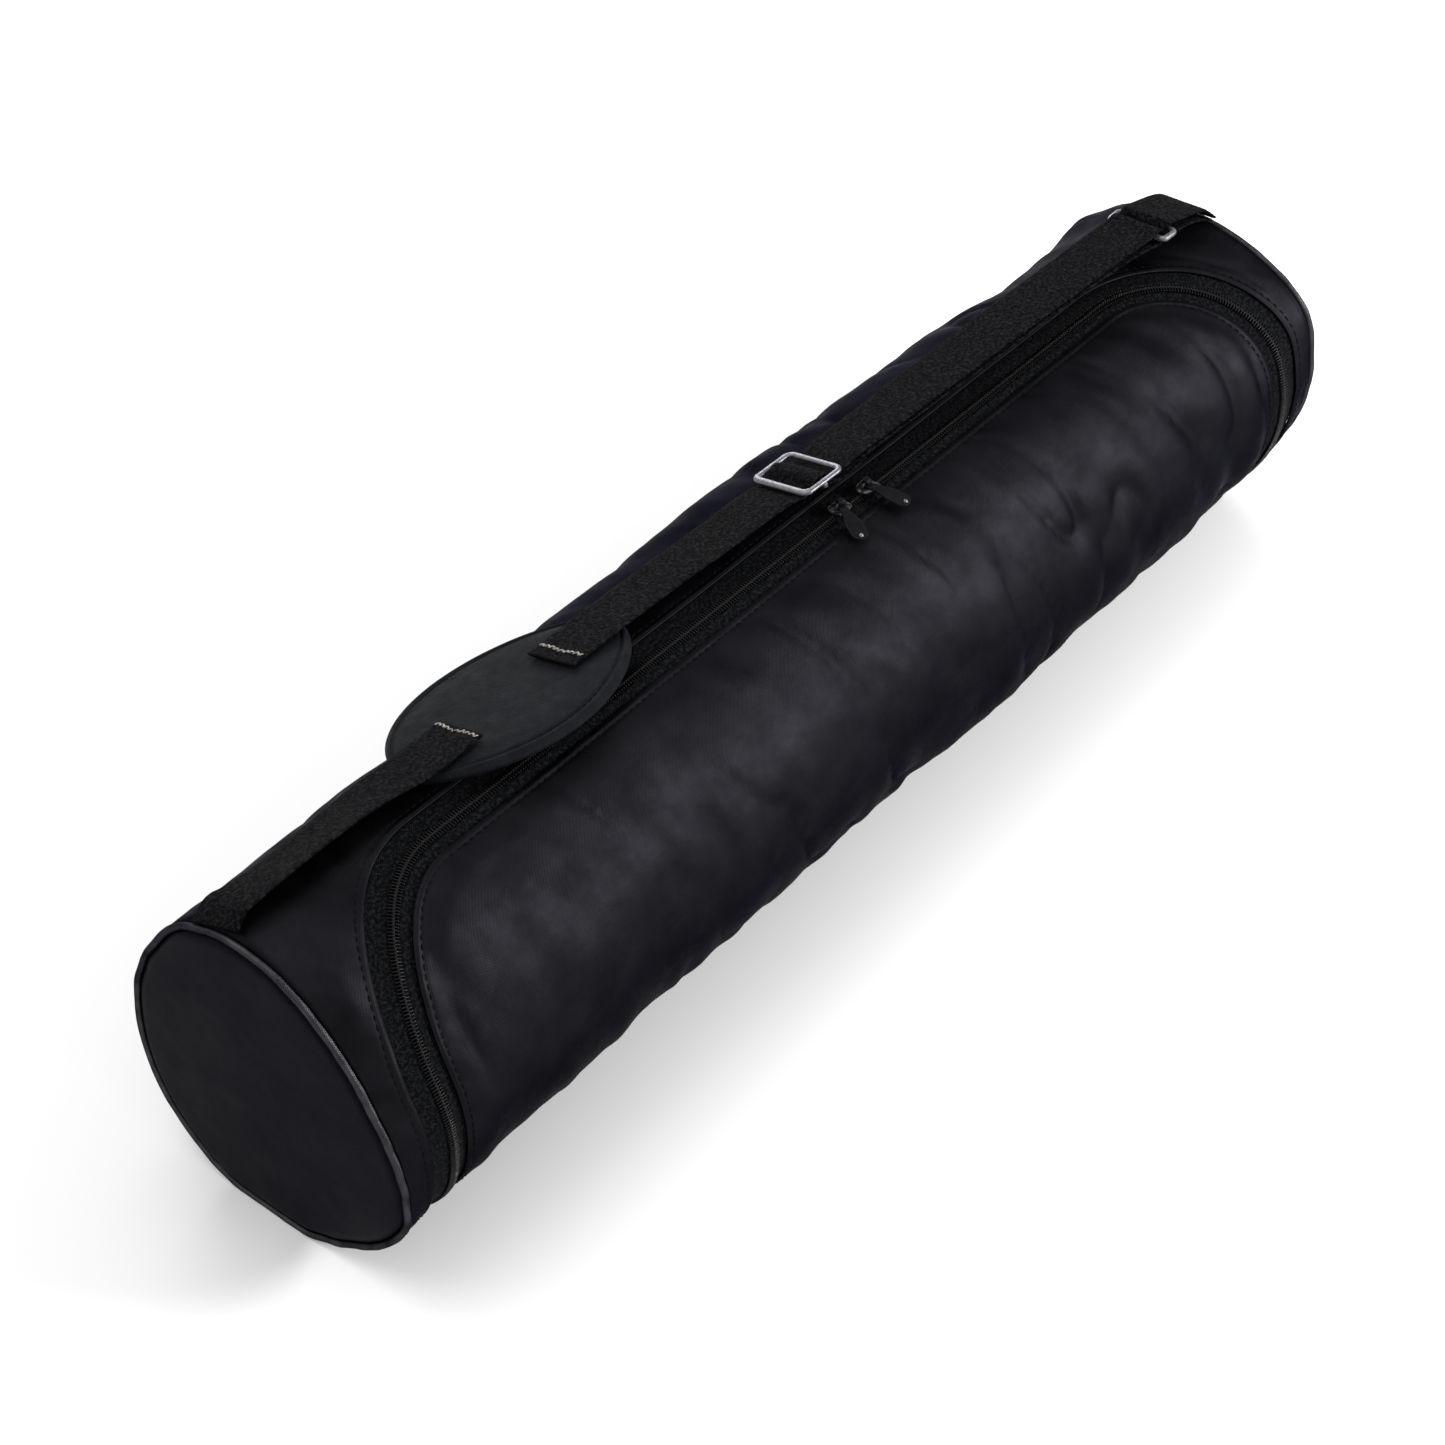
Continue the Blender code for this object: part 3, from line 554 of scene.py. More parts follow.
def folds(x, s, seed):
    """Soft folds: broad swells, and creases that leave the zip on a slant and then run round the tube."""
    mm_x, mm_s = x * 1000, s * 1000
    broad = 0.5 * value_noise(mm_x / 50 + 3, mm_s / 46, seed)
    bend = mm_x + 0.22 * np.minimum(mm_s, 110) + 0.004 * np.clip(mm_s - 60, 0, 60) ** 2
    far = smooth(0.02, 0.2, x)
    rings = value_noise(bend / 20 + 11, mm_s / 75 + 4, seed + 4)
    strength = np.clip(0.55 + 0.75 * value_noise(mm_x / 46, mm_s / 38, seed + 6), 0.0, 1.2)
    creases = -(1 - np.abs(rings)) ** 5 * strength
    waves = value_noise(bend / 13, mm_s / 42, seed + 3)
    wander = mm_x + 12 * value_noise(mm_s / 30, mm_x / 60, seed + 8)
    crinkle = value_noise((wander * 0.9 + mm_s * 0.42) / 6, (mm_s * 0.9 - mm_x * 0.42) / 20, seed + 5)
    height = broad + (2.3 + 0.3 * far) * creases + 0.77 * waves + 0.17 * crinkle
    return 0.0013 * height


def puckers(offset, run, seed):
    """Short ripples where a seam gathers the cloth, fading away from it."""
    ripple = value_noise(run * 1000 / 5.5, offset * 1000 / 30, seed)
    return 0.00042 * ripple * np.exp(-np.abs(offset) / 0.011)


# Rows of the mesh beside a hem, closest at its stitches
HEM_STEPS = np.array([0, 0.3, 0.6, 0.9, 1.2, 1.6, 2.2, 2.8, 3.1, 3.4, 3.7, 4, 4.6, 5.6, 7.2, 9.4, 12]) / 1000


def flap_grid():
    top = ZIP_TOP + FLAP_EDGE
    corner_rows = np.linspace(0.0145, 0.078, 28)
    leg_rows = np.linspace(0.0808, top - (HINGE_S + SEAM_GAP), 36)
    rows = (top - np.concatenate([HEM_STEPS, corner_rows, leg_rows]))[::-1]
    half = half_width(rows, FLAP_EDGE)
    inner = np.linspace(-1, 1, 200)
    grid = []
    for s, h in zip(rows, half):
        mid = inner * (h - HEM_STEPS[-1] - 0.0025)
        x = np.concatenate([-h + HEM_STEPS, mid, (h - HEM_STEPS)[::-1]])
        grid.append(np.stack([x, np.full_like(x, s)], axis=1))
    return np.array(grid)


def front_flap():
    grid = flap_grid()
    x, s = grid[..., 0], grid[..., 1]
    depth = FLAP_EDGE - edge_offset(x, s)
    free = smooth(0.002, 0.016, depth) * smooth(0, 0.02, s - HINGE_S)
    relief = (hem(np.maximum(depth, 0.0)) + (folds(x, s, 11) + 0.0012) * free
              + puckers(depth, x + s, 31) * smooth(0.001, 0.005, depth))
    obj = layer("flap_cloth", grid, relief, relief * free - CLOTH, [CLOTH_MAT, LINING])
    declare(obj, "flap", "body_cloth", "front_flap")


def sleeve_grid():
    end = END_X - RIM_INSET
    top = ZIP_TOP + BODY_EDGE
    drop = np.concatenate([HEM_STEPS, np.linspace(0.0148, 0.096, 30)])
    legs = np.linspace(0.099, top - (HINGE_S - SEAM_GAP), 34)
    front = (top - np.concatenate([drop, legs]))[::-1]
    back = np.concatenate([top + HEM_STEPS[1:], np.linspace(top + 0.015, front[0] + TURN, 118)[:-1]])
    rows = np.concatenate([front, back])
    round_back = np.interp(back, [top, front[0] + TURN], [ZIP_HALF - CORNER_X, ZIP_HALF + BODY_EDGE])
    half = np.concatenate([half_width(front, BODY_EDGE), round_back])
    share = np.linspace(0, 1, 22) ** 1.25
    inner = np.linspace(-1, 1, 190)[1:-1]
    grid = []
    for s, h in zip(rows, half):
        band = h + (end - h) * share
        x = np.concatenate([-band[::-1], inner * h, band])
        grid.append(np.stack([x, np.full_like(x, s)], axis=1))
    return np.array(grid), len(front), len(share)


def body_sleeve():
    grid, front, band = sleeve_grid()
    cols = grid.shape[1]
    x, s = grid[..., 0], grid[..., 1]
    upper = s > pi * RADIUS
    around = np.where(upper, s - TURN, s)
    depth = edge_offset(x, around) - BODY_EDGE
    depth = np.where(upper & (around < HINGE_S), AWAY, depth)
    rim = END_X - RIM_INSET - np.abs(x)
    hinge = HINGE_S - SEAM_GAP - around
    hinge = np.where((hinge > -0.0001) & (np.abs(x) < ZIP_HALF + BODY_EDGE), hinge, AWAY)
    edge = np.minimum(np.maximum(depth, 0.0), np.maximum(hinge, 0.0))
    free = smooth(0.002, 0.016, edge) * smooth(0, 0.02, rim)
    turns = folds(x, s, 51) * smooth(0, 0.03, s + 0.08) * smooth(0, 0.03, TURN - 0.06 - s)
    relief = (hem(edge) + 0.65 * turns * free + puckers(rim, s, 71) * smooth(0, 0.003, rim)
              + puckers(edge, x + s, 81) * smooth(0.001, 0.005, edge)
              - 0.0006 * (1 - smooth(0, 0.004, rim)))

    def present(i, j):
        return (i >= front - 1) | (j < band - 1) | (j >= cols - band)
    obj = layer("sleeve_cloth", grid, relief, relief * free - CLOTH, [CLOTH_MAT, LINING],
                present=present, closed=True)
    declare(obj, "bag", "body_cloth", "body_sleeve")


# ---- zip ----

def zip_tape(name, node, body, near, far):
    """Woven tape with a raised cord beside the teeth."""
    count = 900
    lines = []
    for off in np.linspace(near, far, 15):
        path, _ = zip_curve(off, HINGE_S + 0.003, 0.0005)
        lines.append(interp_rows(np.linspace(0, len(path) - 1, count), np.arange(len(path)), path))
    grid = np.stack(lines, axis=1)
    x, s = grid[..., 0], grid[..., 1]
    off = np.abs(edge_offset(x, s))
    cord = 0.0005 * np.exp(-((off - 0.0036) / 0.0007) ** 2) + 0.0004 * (1 - smooth(0.0052, 0.0066, off))
    wave = 0.00022 * value_noise(x * 90, s * 90, 5) + 0.0002 * value_noise(x / 0.0018, s / 0.0018, 6)
    obj = layer(name, grid, TAPE_LEVEL + cord + wave, TAPE_LEVEL - 0.0009, [TAPE])
    declare(obj, body, "zip_tape", node)


def zip_teeth(name, node, body, side):
    """Single coil teeth, set half a pitch on from those of the other tape."""
    pitch, sides = 0.0015, 8
    first = 0 if side > 0 else 1
    path, along = (line[first::2, None, None] for line in zip_curve(0.0, LEG_FOOT, pitch / 2))
    outward = np.stack([-along[..., 1], along[..., 0]], axis=-1)
    reach = np.array([-0.00055, -0.00035, 0.00035, 0.001, 0.0019, 0.0024, 0.00265])[:, None]
    width = np.array([0.45, 0.95, 1.0, 0.62, 0.62, 0.72, 0.3])[:, None] * 0.00054
    height = np.array([0.4, 0.95, 1.0, 0.8, 0.8, 0.7, 0.3])[:, None] * 0.001
    turn = full_turn(sides)
    flat = path + along * (width * np.cos(turn))[..., None] + outward * (side * reach)[..., None]
    points = skin(flat[..., 0], flat[..., 1], height * np.sin(turn) - 0.0006)
    if side < 0:
        points = points[:, ::-1]
    faces = []
    for tooth in np.arange(points[..., 0].size).reshape(points.shape[:3]):
        faces += [*corners(wrapped(tooth)).reshape(-1, 4), tooth[0, ::-1], tooth[-1]]
    declare(make_object(name, points, faces, [TEETH]), body, "zip_coil", node)


def stitch_row(name, body, path, height, length=0.003, gap=0.0012):
    """A row of thread stitches lying along a path of (x, s)."""
    run = path_length(path)
    bow = np.sin(np.linspace(0, pi, 7))
    parts = []
    for start in np.arange(gap, run[-1] - length, length + gap):
        x, s = interp_rows(start + np.linspace(0, length, 7), run, path).T
        middle = skin(x, s, height + 0.00022 * bow - 0.0003 * (1 - bow))
        parts.append((tube_rings(middle, 0.00022 * (0.55 + 0.45 * bow), sides=6), False))
    declare(loft_object(name, parts, DARK_THREAD), body, "binding")


def slider_frame(x):
    """The teeth line at x, and axes along it, across it and outwards."""
    along = unit(skin(0.2, ZIP_TOP, 0.0) - skin(-0.2, ZIP_TOP, 0.0))
    across = skin(x, ZIP_TOP + 0.001, 0.0) - skin(x, ZIP_TOP - 0.001, 0.0)
    across = unit(across - along * across.dot(along))
    return skin(x, ZIP_TOP, 0.0), np.stack([along, across, np.cross(along, across)])


def plate_rings(outline, *levels):
    """Rings for a rounded plate: the outline at each (level, scale)."""
    return np.array([np.column_stack([outline * scale, np.full(len(outline), level)])
                     for level, scale in levels])


def rounded_outline(points, cut=0.28, rounds=3):
    """Corner-cutting, which rounds a closed outline."""
    p = np.asarray(points, float)
    for _ in range(rounds):
        q = np.roll(p, -1, axis=0)
        p = np.stack([p * (1 - cut) + q * cut, p * cut + q * (1 - cut)], axis=1).reshape(-1, 2)
    return p


def slider(end, x, facing):
    """Slider body, in millimetres: top and bottom plates, divider, and a bail over the top."""
    here, axes = slider_frame(x)
    outline = rounded_outline([(-5.4, -2.6), (-1.5, -4.5), (4.2, -4.5), (5.4, -3.2),
                               (5.4, 3.2), (4.2, 4.5), (-1.5, 4.5), (-5.4, 2.6)])
    outline = (outline * (facing, 1))[::facing]
    top = plate_rings(outline, (0.9, 0.93), (1.15, 1.0), (1.75, 1.0), (2.1, 0.9))
    top[..., 2] += 0.42 * np.maximum(-top[..., 1], 0.0)
    base = plate_rings(outline, (-4.9, 0.9), (-4.6, 1.0), (-3.9, 1.0), (-3.6, 0.93))
    t = np.linspace(0, pi, 25)
    arch = np.column_stack([-3.1 * np.cos(t), np.full(25, 0.6), 1.4 + (BAIL - 1.4) * np.sin(t) ** 0.45])
    bail = tube_rings(arch, 0.62, up=(0, 1, 0), sides=10)
    post = tube_rings([(-1.2, 0, -3.8), (-1.2, 0, -1.0), (-1.2, 0, 1.2)], 0.3, up=(0, 1, 0), sides=8)
    parts = [(rings * MM @ axes + here, False) for rings in (top, base, bail, post)]
    obj = loft_object("zip_slider_body_" + end, parts, ENAMEL)
    declare(obj, "zip_slider_" + end, "zip_metal", "slider_" + end)
    return here + np.array((0, 0.6, BAIL)) * MM @ axes, axes


def pull(end, bail, axes):
    """Moulded pull, in millimetres: a curl round the bail, a limp rimmed tab, and a stud near its tip."""
    turn = np.radians(np.linspace(-130, 180, 26))
    path = np.column_stack([np.zeros(26), 1.4 * np.sin(turn), 1.4 * np.cos(turn)])
    path = np.vstack([path, [(0, -1.2, -1.5), (0, -3.0, -1.6), (0, -4.4, -1.6)]])
    half = np.interp(np.arange(len(path)), [0, 24, 28], [1.7, 1.8, 2.2])
    normal = np.cross(unit(np.gradient(path, axis=0)), (1.0, 0, 0))
    shape = rounded_outline([(-1, -1), (1, -1), (1, 1), (-1, 1)], 0.25, 2)
    curl = np.array([[p + (h * a, 0, 0) + n * 0.42 * b for a, b in shape]
                     for p, n, h in zip(path, normal, half)])
    length, u = 22.0, np.linspace(-1, 1, 25)
    tab = []
    for v in np.linspace(0, 1, 44):
        tip = np.sqrt(np.clip(1 - (np.clip(v - 0.78, 0, 1) / 0.22) ** 2.4, 0.02, 1))
        width = (2.2 + 2.2 * smooth(0, 0.55, v)) * tip
        edge = np.minimum((1 - np.abs(u)) * width, (1 - v) * (length - 4.0) + 0.4)
        rim = 0.62 * np.sqrt(smooth(0, 0.5, edge)) - 0.26 * smooth(0.7, 1.2, edge)
        y = np.full(25, -4.0 - v * (length - 4.0))
        upper = np.column_stack([u * width, y, -1.6 + rim])
        lower = np.column_stack([u * width, y, -1.6 - 0.5 * rim])[::-1]
        tab.append(np.vstack([upper, lower[1:-1]]))
    ring = full_turn(14)
    stud = [np.column_stack([1.15 * sin(a) * np.cos(ring), -20.2 + 1.15 * sin(a) * np.sin(ring),
                             np.full(14, -1.35 + cos(a))])
            for a in np.linspace(pi / 2, 0.08, 7)]
    tab, stud = np.array(tab), np.array(stud)
    for part in (tab, stud):
        part[..., 2] -= PULL_DROOP * (part[..., 1] / length) ** 2
    lift = np.array(Matrix.Rotation(-PULL_LIFT[end], 3, "X") @ Matrix.Rotation(PULL_YAW[end], 3, "Z"))
    curl, tab, stud = ((rings * MM @ lift.T @ axes + bail, False) for rings in (curl, tab, stud))
    body = "zip_pull_" + end
    declare(loft_object("zip_pull_tab_" + end, [curl, tab], PULL), body, "pull", "pull_" + end)
    declare(loft_object("zip_pull_stud_" + end, [stud], METAL), body, "grey_metal")


# ---- ends ----

def end_panel(end, side):
    """Stretched round panel, slightly crowned, drawn in where the piping holds it."""
    rings, steps = 34, 192
    total = rings * steps
    s = np.linspace(0, TURN, steps, endpoint=False)
    edge = skin(np.full(steps, side * (END_X - 0.0006)), s, -0.0028)
    centre = np.array((edge[0, 0], SHIFT_Y, AXIS_Z))
    f = np.linspace(0.02, 1.0, rings)[:, None]
    front = centre + (edge - centre) * f[..., None]
    crown = 0.001 * (1 - f ** 4) - 0.0012 * smooth(0.965, 1.0, f)
    ripple = 0.00035 * value_noise(front[..., 1] * 28 + 9, front[..., 2] * 28, 91) * (1 - f ** 6)
    front[..., 0] += side * (crown + ripple)
    verts = np.vstack([front.reshape(-1, 3), front.reshape(-1, 3) - (side * 0.0016, 0, 0)])
    index = wrapped(np.arange(total).reshape(rings, steps))
    quads = corners(index).reshape(-1, 4)[:, ::-1]
    row, beside, hub = index[-1, :-1], index[-1, 1:], index[0, :-1]
    rim = np.stack([row, row + total, beside + total, beside], axis=1)
    faces = [*quads, *(quads[:, ::-1] + total), *rim, hub, hub[::-1] + total]
    if side > 0:
        faces = [face[::-1] for face in faces]
    uvs = verts[np.concatenate(faces), 1:]
    obj = make_object(end + "_end_cloth", verts, faces, [END_CLOTH], uvs)
    declare(obj, "bag", "end_cloth", end + "_end_panel")


def piping(end, side):
    """Cord covered in cloth round the rim, gathered a little as it turns."""
    s = np.linspace(0, TURN, 420, endpoint=False)
    x = side * (END_X - 0.002)
    radius = 0.0016 + 0.00014 * value_noise(s * 1000 / 6.0, s * 0, 17)
    turn = full_turn(14)[::side]
    rings = np.stack([skin(x + radius * cos(a), s, radius * sin(a) - 0.0004) for a in turn], axis=1)
    obj = loft_object(end + "_piping_cord", [(rings, True)], PIPING)
    declare(obj, "bag", "piping", end + "_piping")


def hinge_welt():
    """Narrow welt over the seam that the front panel turns on."""
    x = np.linspace(-ZIP_HALF - 0.004, ZIP_HALF + 0.004, 300)
    radius = 0.001 + 0.00008 * value_noise(x * 120, x * 0, 23)
    rings = tube_rings(skin(x, HINGE_S, -0.0006), radius, sides=10)
    declare(loft_object("hinge_welt", [(rings, False)], PIPING), "bag", "piping")


# ---- webbing ----

def ribs(run, across):
    """Height of the webbing's ribs: slanting floats in rows, and firm edges."""
    row = np.sin(2 * pi * run / 0.0021 + 1.6 * np.sin(2 * pi * across / 0.0058))
    column = np.cos(2 * pi * across / 0.0029)
    return 0.00013 * (row * column) * smooth(0, 0.0016, WEBBING_WIDTH / 2 - np.abs(across))


def webbing(name, stations, node, thickness=0.0016, slack=0.0003, seed=7):
    """Webbing through stations of (x, y, z, roll in degrees), ribbed on both faces.

    It is laid along its path, and the CAD node it stands for is hidden.
    """
    path = spline(stations, 0.00085)
    points, roll = path[:, :3], np.radians(path[:, 3])
    run = path_length(points)
    along = unit(np.gradient(points, axis=0))
    across = np.stack([np.zeros_like(roll), np.cos(roll), np.sin(roll)], axis=1)
    across = unit(across - along * np.sum(along * across, axis=1)[:, None])
    up = np.cross(along, across)[:, None]
    v = np.linspace(-1, 1, 41)
    v = np.sign(v) * (1 - (1 - np.abs(v)) ** 1.15)

    def drift(scale, shift, more):
        return value_noise(run * scale, run * 0 + shift, seed + more)[:, None]
    v_grid = v * WEBBING_WIDTH / 2 * (1 + 0.006 * drift(60, 0, 0))
    rise = slack * (drift(28, 3, 1) + drift(22, 9, 2) * v ** 2)
    face = thickness / 2 * np.sqrt(np.clip(1 - np.abs(v) ** 14, 0, 1)) + ribs(run[:, None], v_grid)
    centre = points[:, None] + across[:, None] * v_grid[..., None] + up * rise[..., None]
    top, low = centre + up * face[..., None], centre - up * face[..., None]
    rings = np.concatenate([low, top[:, ::-1][:, 1:-1]], axis=1)
    around = np.concatenate([v, v[::-1][1:-1], v[:1]]) * WEBBING_WIDTH / 2
    uv = np.stack(np.meshgrid(run, around, indexing="ij"), axis=-1)
    obj = loft_object(name, [(rings, False)], WEBBING_MAT, uv)
    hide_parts(node)
    return obj


def strap_roll(x):
    """The strap leans back beside the adjuster and comes level at the ring. Radians."""
    return radians(np.interp(x, *np.array(STRAP_ROLL).T))


def on_line(x, drop=0.0):
    """A point on the strap's line, or below it square to the leaning webbing."""
    f = (x - LINE_START[0]) / (LINE_END[0] - LINE_START[0])
    roll = strap_roll(x)
    _, y, z = LINE_START + f * (LINE_END - LINE_START)
    z += AXIS_Z - SETTLE * np.clip(f, 0, 1)
    return np.array((x, y + SHIFT_Y + drop * sin(roll), z - drop * cos(roll)))


def stations(start, *offsets):
    """Stations on the strap, given as (distance past start, drop below its line)."""
    return [(*on_line(start + dx, drop), degrees(strap_roll(start + dx))) for dx, drop in offsets]


def pad_point(x, across, height, bend=PAD_BEND):
    """Points on the gently bent pad over the middle of the sleeve."""
    x, across, height = np.broadcast_arrays(*(np.asarray(a, float) for a in (x, across, height)))
    roll = radians(PAD_ROLL)
    angle = PAD_S / RADIUS
    r = section(x, angle) + PAD_OUT
    droop = across * across / (2 * bend)
    y = SHIFT_Y - r * cos(angle) + across * cos(roll) - (height - droop) * sin(roll)
    z = AXIS_Z + r * sin(angle) + across * sin(roll) + (height - droop) * cos(roll)
    return np.stack([x, y, z], axis=-1)


def over_pad(x):
    return (*pad_point(x, 0.0, STRAP_REST), PAD_ROLL)


def arc_path(centre, start, stop, radius=LOOSE):
    """Webbing's turn round a bar, square to the leaning bar."""
    roll = strap_roll(centre[0])
    turn = np.radians(np.linspace(start, stop, 13))
    return [(centre[0] + radius * cos(a), centre[1] - radius * sin(a) * sin(roll),
             centre[2] + radius * sin(a) * cos(roll), degrees(roll)) for a in turn]


def straps():
    a = radians(106.0)
    r = section(-0.3255, a) + 0.0024
    near = [(-0.3262, SHIFT_Y - r * cos(a), AXIS_Z + r * sin(a) - 0.0008, -19.0)]
    near += [(x, y, AXIS_Z + z, roll) for x, y, z, roll in (
        (-0.3185, 0.0238, 0.0838, -21.0), (-0.31, 0.023, 0.0853, -25.0), (-0.29, 0.0218, 0.0864, -30.0),
        (-0.255, 0.0213, 0.0868, -28.0), (-0.235, 0.0207, 0.0876, -23.0))]
    near += [over_pad(x) for x in (-0.215, -0.1985, -0.1855)]
    obj = webbing("strap_from_end", near, "strap_near", slack=0.0005)
    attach(obj, "bag")

    upper = [over_pad(x) for x in (-0.129, -0.108, -0.09)]
    upper += stations(0.0, *((x, 0.0) for x in (-0.07, -0.048, -0.028, -0.0115, 0.004)))
    upper += stations(ADJUSTER_X, (-0.0165, 0.001), (-0.0112, 0.0022), (-0.0066, 0.0004),
                      (-0.0028, -0.0021), (0.0, -0.0026))
    obj = webbing("strap_upper_near", upper, "strap_long", seed=17)
    tuple(on_line(-0.06))
    tuple(on_line(0.012))
    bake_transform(obj)

    far = stations(ADJUSTER_X, (0.0, -0.0026), (0.0028, -0.0021), (0.0066, 0.0004), (0.0112, 0.0022),
                   (0.017, 0.0012), (0.03, 0.0))
    far += stations(0.0, (0.12, 0.0), (0.19, -0.0006), (0.25, -0.0002), (0.272, 0.0))
    far += arc_path(on_line(RING_BARS[0], LOOP), 90, -90)
    far += stations(0.0, (0.26, 0.0032), (0.23, 0.0024), (0.15, 0.0022))
    far += stations(ADJUSTER_X, (0.03, 0.0026), (0.0112, 0.0046), (0.0062, 0.0028))
    far += arc_path(on_line(ADJUSTER_X, 0.001), 60, 270, 0.0021)
    far += stations(ADJUSTER_X, (0.008, 0.0052), (0.015, 0.0064), (0.03, 0.0046))
    obj = webbing("strap_loop_far", far, "strap_return", seed=27, thickness=0.0014)
    tuple(on_line(0.07))
    tuple(on_line(0.25))
    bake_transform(obj)

    centre = on_line(RING_BARS[1], LOOP)
    y, roll = centre[1], degrees(strap_roll(RING_BARS[1]))
    under = ((0.3262, 0.0745), (0.3205, 0.0777), (0.313, 0.0812), (0.302, 0.0844))
    over = ((0.302, 0.0902), (0.311, 0.088), (0.3172, 0.0856), (0.3206, 0.0828), (0.3266, 0.0768))
    tab = [(x, y, AXIS_Z + z, roll) for x, z in under] + arc_path(centre, 270, 90)
    tab += [(x, y - 0.002 * (x - 0.302) / 0.0246, AXIS_Z + z, roll) for x, z in over]
    obj = webbing("ring_tab_webbing", tab, "ring_tab", seed=37, slack=0.0001)
    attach(obj, "bag")


def bartack(name, x):
    """Close zigzag of pale thread across the strap's end, sewn a little unevenly."""
    count, width = 17, 0.0252
    uneven = np.random.default_rng(len(name)).uniform(-1.0, 1.0, (count, 4))
    t = np.linspace(0, 1, 6)
    bow = 0.0002 * np.sin(pi * t)
    parts = []
    for k, (shift, drift, sink, slope) in enumerate(uneven):
        across = width * ((k + t) / count - 0.5)
        middle = x + 0.00025 * shift + 0.0005 * sin(k * 0.5 + x * 300)
        height = STRAP_REST + 0.00095 + 0.00022 * sink
        reach = (1 if k % 2 else -1) * (0.0007 + 0.0002 * drift)
        outer = pad_point(middle + reach * (2 * t - 1), across, height + bow, bend=100.0)
        inner = pad_point(middle + 0.0007 * (1 - 2 * t), across.mean() + 0.0003 * drift * (t - 0.5),
                          height - 0.0001 + bow, bend=100.0)
        parts.append((tube_rings(outer, 0.0003 + 0.00004 * slope, sides=7), False))
        parts.append((tube_rings(inner, 0.00026, sides=7), False))
    declare(loft_object(name + "_stitches", parts, PALE_THREAD), "bag", "thread", name)


def pad_width(u, front):
    """The pad's reach at u along it (-1 near, 1 far). Its back edge is fuller towards the near end."""
    reach = np.where(front, PAD_HALF[1], PAD_BACK * (1 - 0.1 * u))
    return reach * np.clip(1 - u * u, 0, 1) ** np.where(front, PAD_POINT, 0.58)


def shoulder_pad():
    """Crowned pad with pointed ends, a rolled rim and a stitched channel inside it."""
    cols, rows = 150, 90
    u = np.sin(np.linspace(-1, 1, cols) * pi / 2 * 0.985)
    v = np.sin(np.linspace(-1, 1, rows) * pi / 2)
    uu, vv = np.meshgrid(u, v)
    half = pad_width(uu, vv < 0)
    x, across = PAD_X + PAD_HALF[0] * uu, half * vv
    edge = np.minimum((1 - np.abs(vv)) * half, (1 - np.abs(uu)) * PAD_HALF[0] * 0.8)
    body = 0.0026 * np.sqrt(smooth(-0.0002, 0.003, edge))
    channel = -0.001 * np.exp(-((edge - PAD_CHANNEL) / 0.0009) ** 2)
    crown = 0.0008 * smooth(0.006, 0.016, edge)
    dimple = 0.0003 * value_noise(x * 70, across * 70, 41) * smooth(0.006, 0.012, edge)
    press = -0.0004 * np.exp(-(across / 0.015) ** 4)
    top = body + channel + crown + dimple + press
    low = -0.0025 * np.sqrt(smooth(-0.0002, 0.0024, edge))
    grid = np.stack([x, across], axis=-1)
    obj = layer("shoulder_pad", grid, top, low, [PAD], surface=pad_point)
    declare(obj, "bag", "pad", "pad_base", "pad_cover")


def pad_stitches():
    """Stitches in the pad's channel."""
    t = np.linspace(0, 2 * pi, 900)
    across = np.maximum(pad_width(np.cos(t), np.sin(t) < 0) - PAD_CHANNEL, 0.0) * np.sign(np.sin(t))
    route = np.stack([PAD_X + (PAD_HALF[0] - 1.25 * PAD_CHANNEL) * np.cos(t), across], axis=1)
    run = path_length(route)
    bow = np.sin(np.linspace(0, pi, 6))
    parts = []
    for start in np.arange(0, run[-1] - 0.003, 0.0042):
        x, v = interp_rows(np.linspace(start, start + 0.003, 6), run, route).T
        points = pad_point(x, v, 0.0017 + 0.0003 * bow)
        parts.append((tube_rings(points, 0.00022 * (0.6 + 0.4 * bow), sides=6), False))
    declare(loft_object("pad_stitches", parts, DARK_THREAD), "bag", "binding")


# ---- metal ----

def frame_path(half_x, half_y, bend):
    """Rounded rectangle as points (x, y)."""
    points = []
    for k, (sx, sy) in enumerate(((1, 1), (-1, 1), (-1, -1), (1, -1))):
        turn = np.radians(np.linspace(90 * k, 90 * k + 90, 7))
        points += [(sx * (half_x - bend) + bend * cos(a), sy * (half_y - bend) + bend * sin(a))
                   for a in turn]
    points = np.array(points)
    return np.stack([points, (points + np.roll(points, -1, axis=0)) / 2], axis=1).reshape(-1, 2)


def adjuster():
    """Cast ladder slide: a rounded frame, heavier at its near bar, with a round middle bar."""
    roll, half = strap_roll(ADJUSTER_X), 0.0159
    along = unit(on_line(1.0) - on_line(0.0))
    up = unit(np.cross(along, (0.0, cos(roll), sin(roll))))
    axes = np.stack([along, np.cross(up, along), up])
    path = frame_path(0.0118, 0.0161, 0.0034)
    points = np.column_stack([path, np.full(len(path), 0.0008)])
    radius = np.where(path[:, 0] < -0.009, 0.0019, 0.0015)
    parts = [(tube_rings(points, radius, sides=16, closed=True, flat=0.72), True),
             (tube_rings([(0, y, -0.001) for y in np.linspace(-half, half, 12)], 0.0012, sides=14), False)]
    for y in (-half, half):
        lug = [(0, y, z) for z in (-0.0022, -0.0006, 0.0016)]
        parts.append((tube_rings(lug, 0.0015, up=(1, 0, 0)), False))
    parts = [(rings @ axes + on_line(ADJUSTER_X), closed) for rings, closed in parts]
    declare(loft_object("ladder_slide", parts, METAL), "strap_adjuster", "grey_metal", "adjuster")


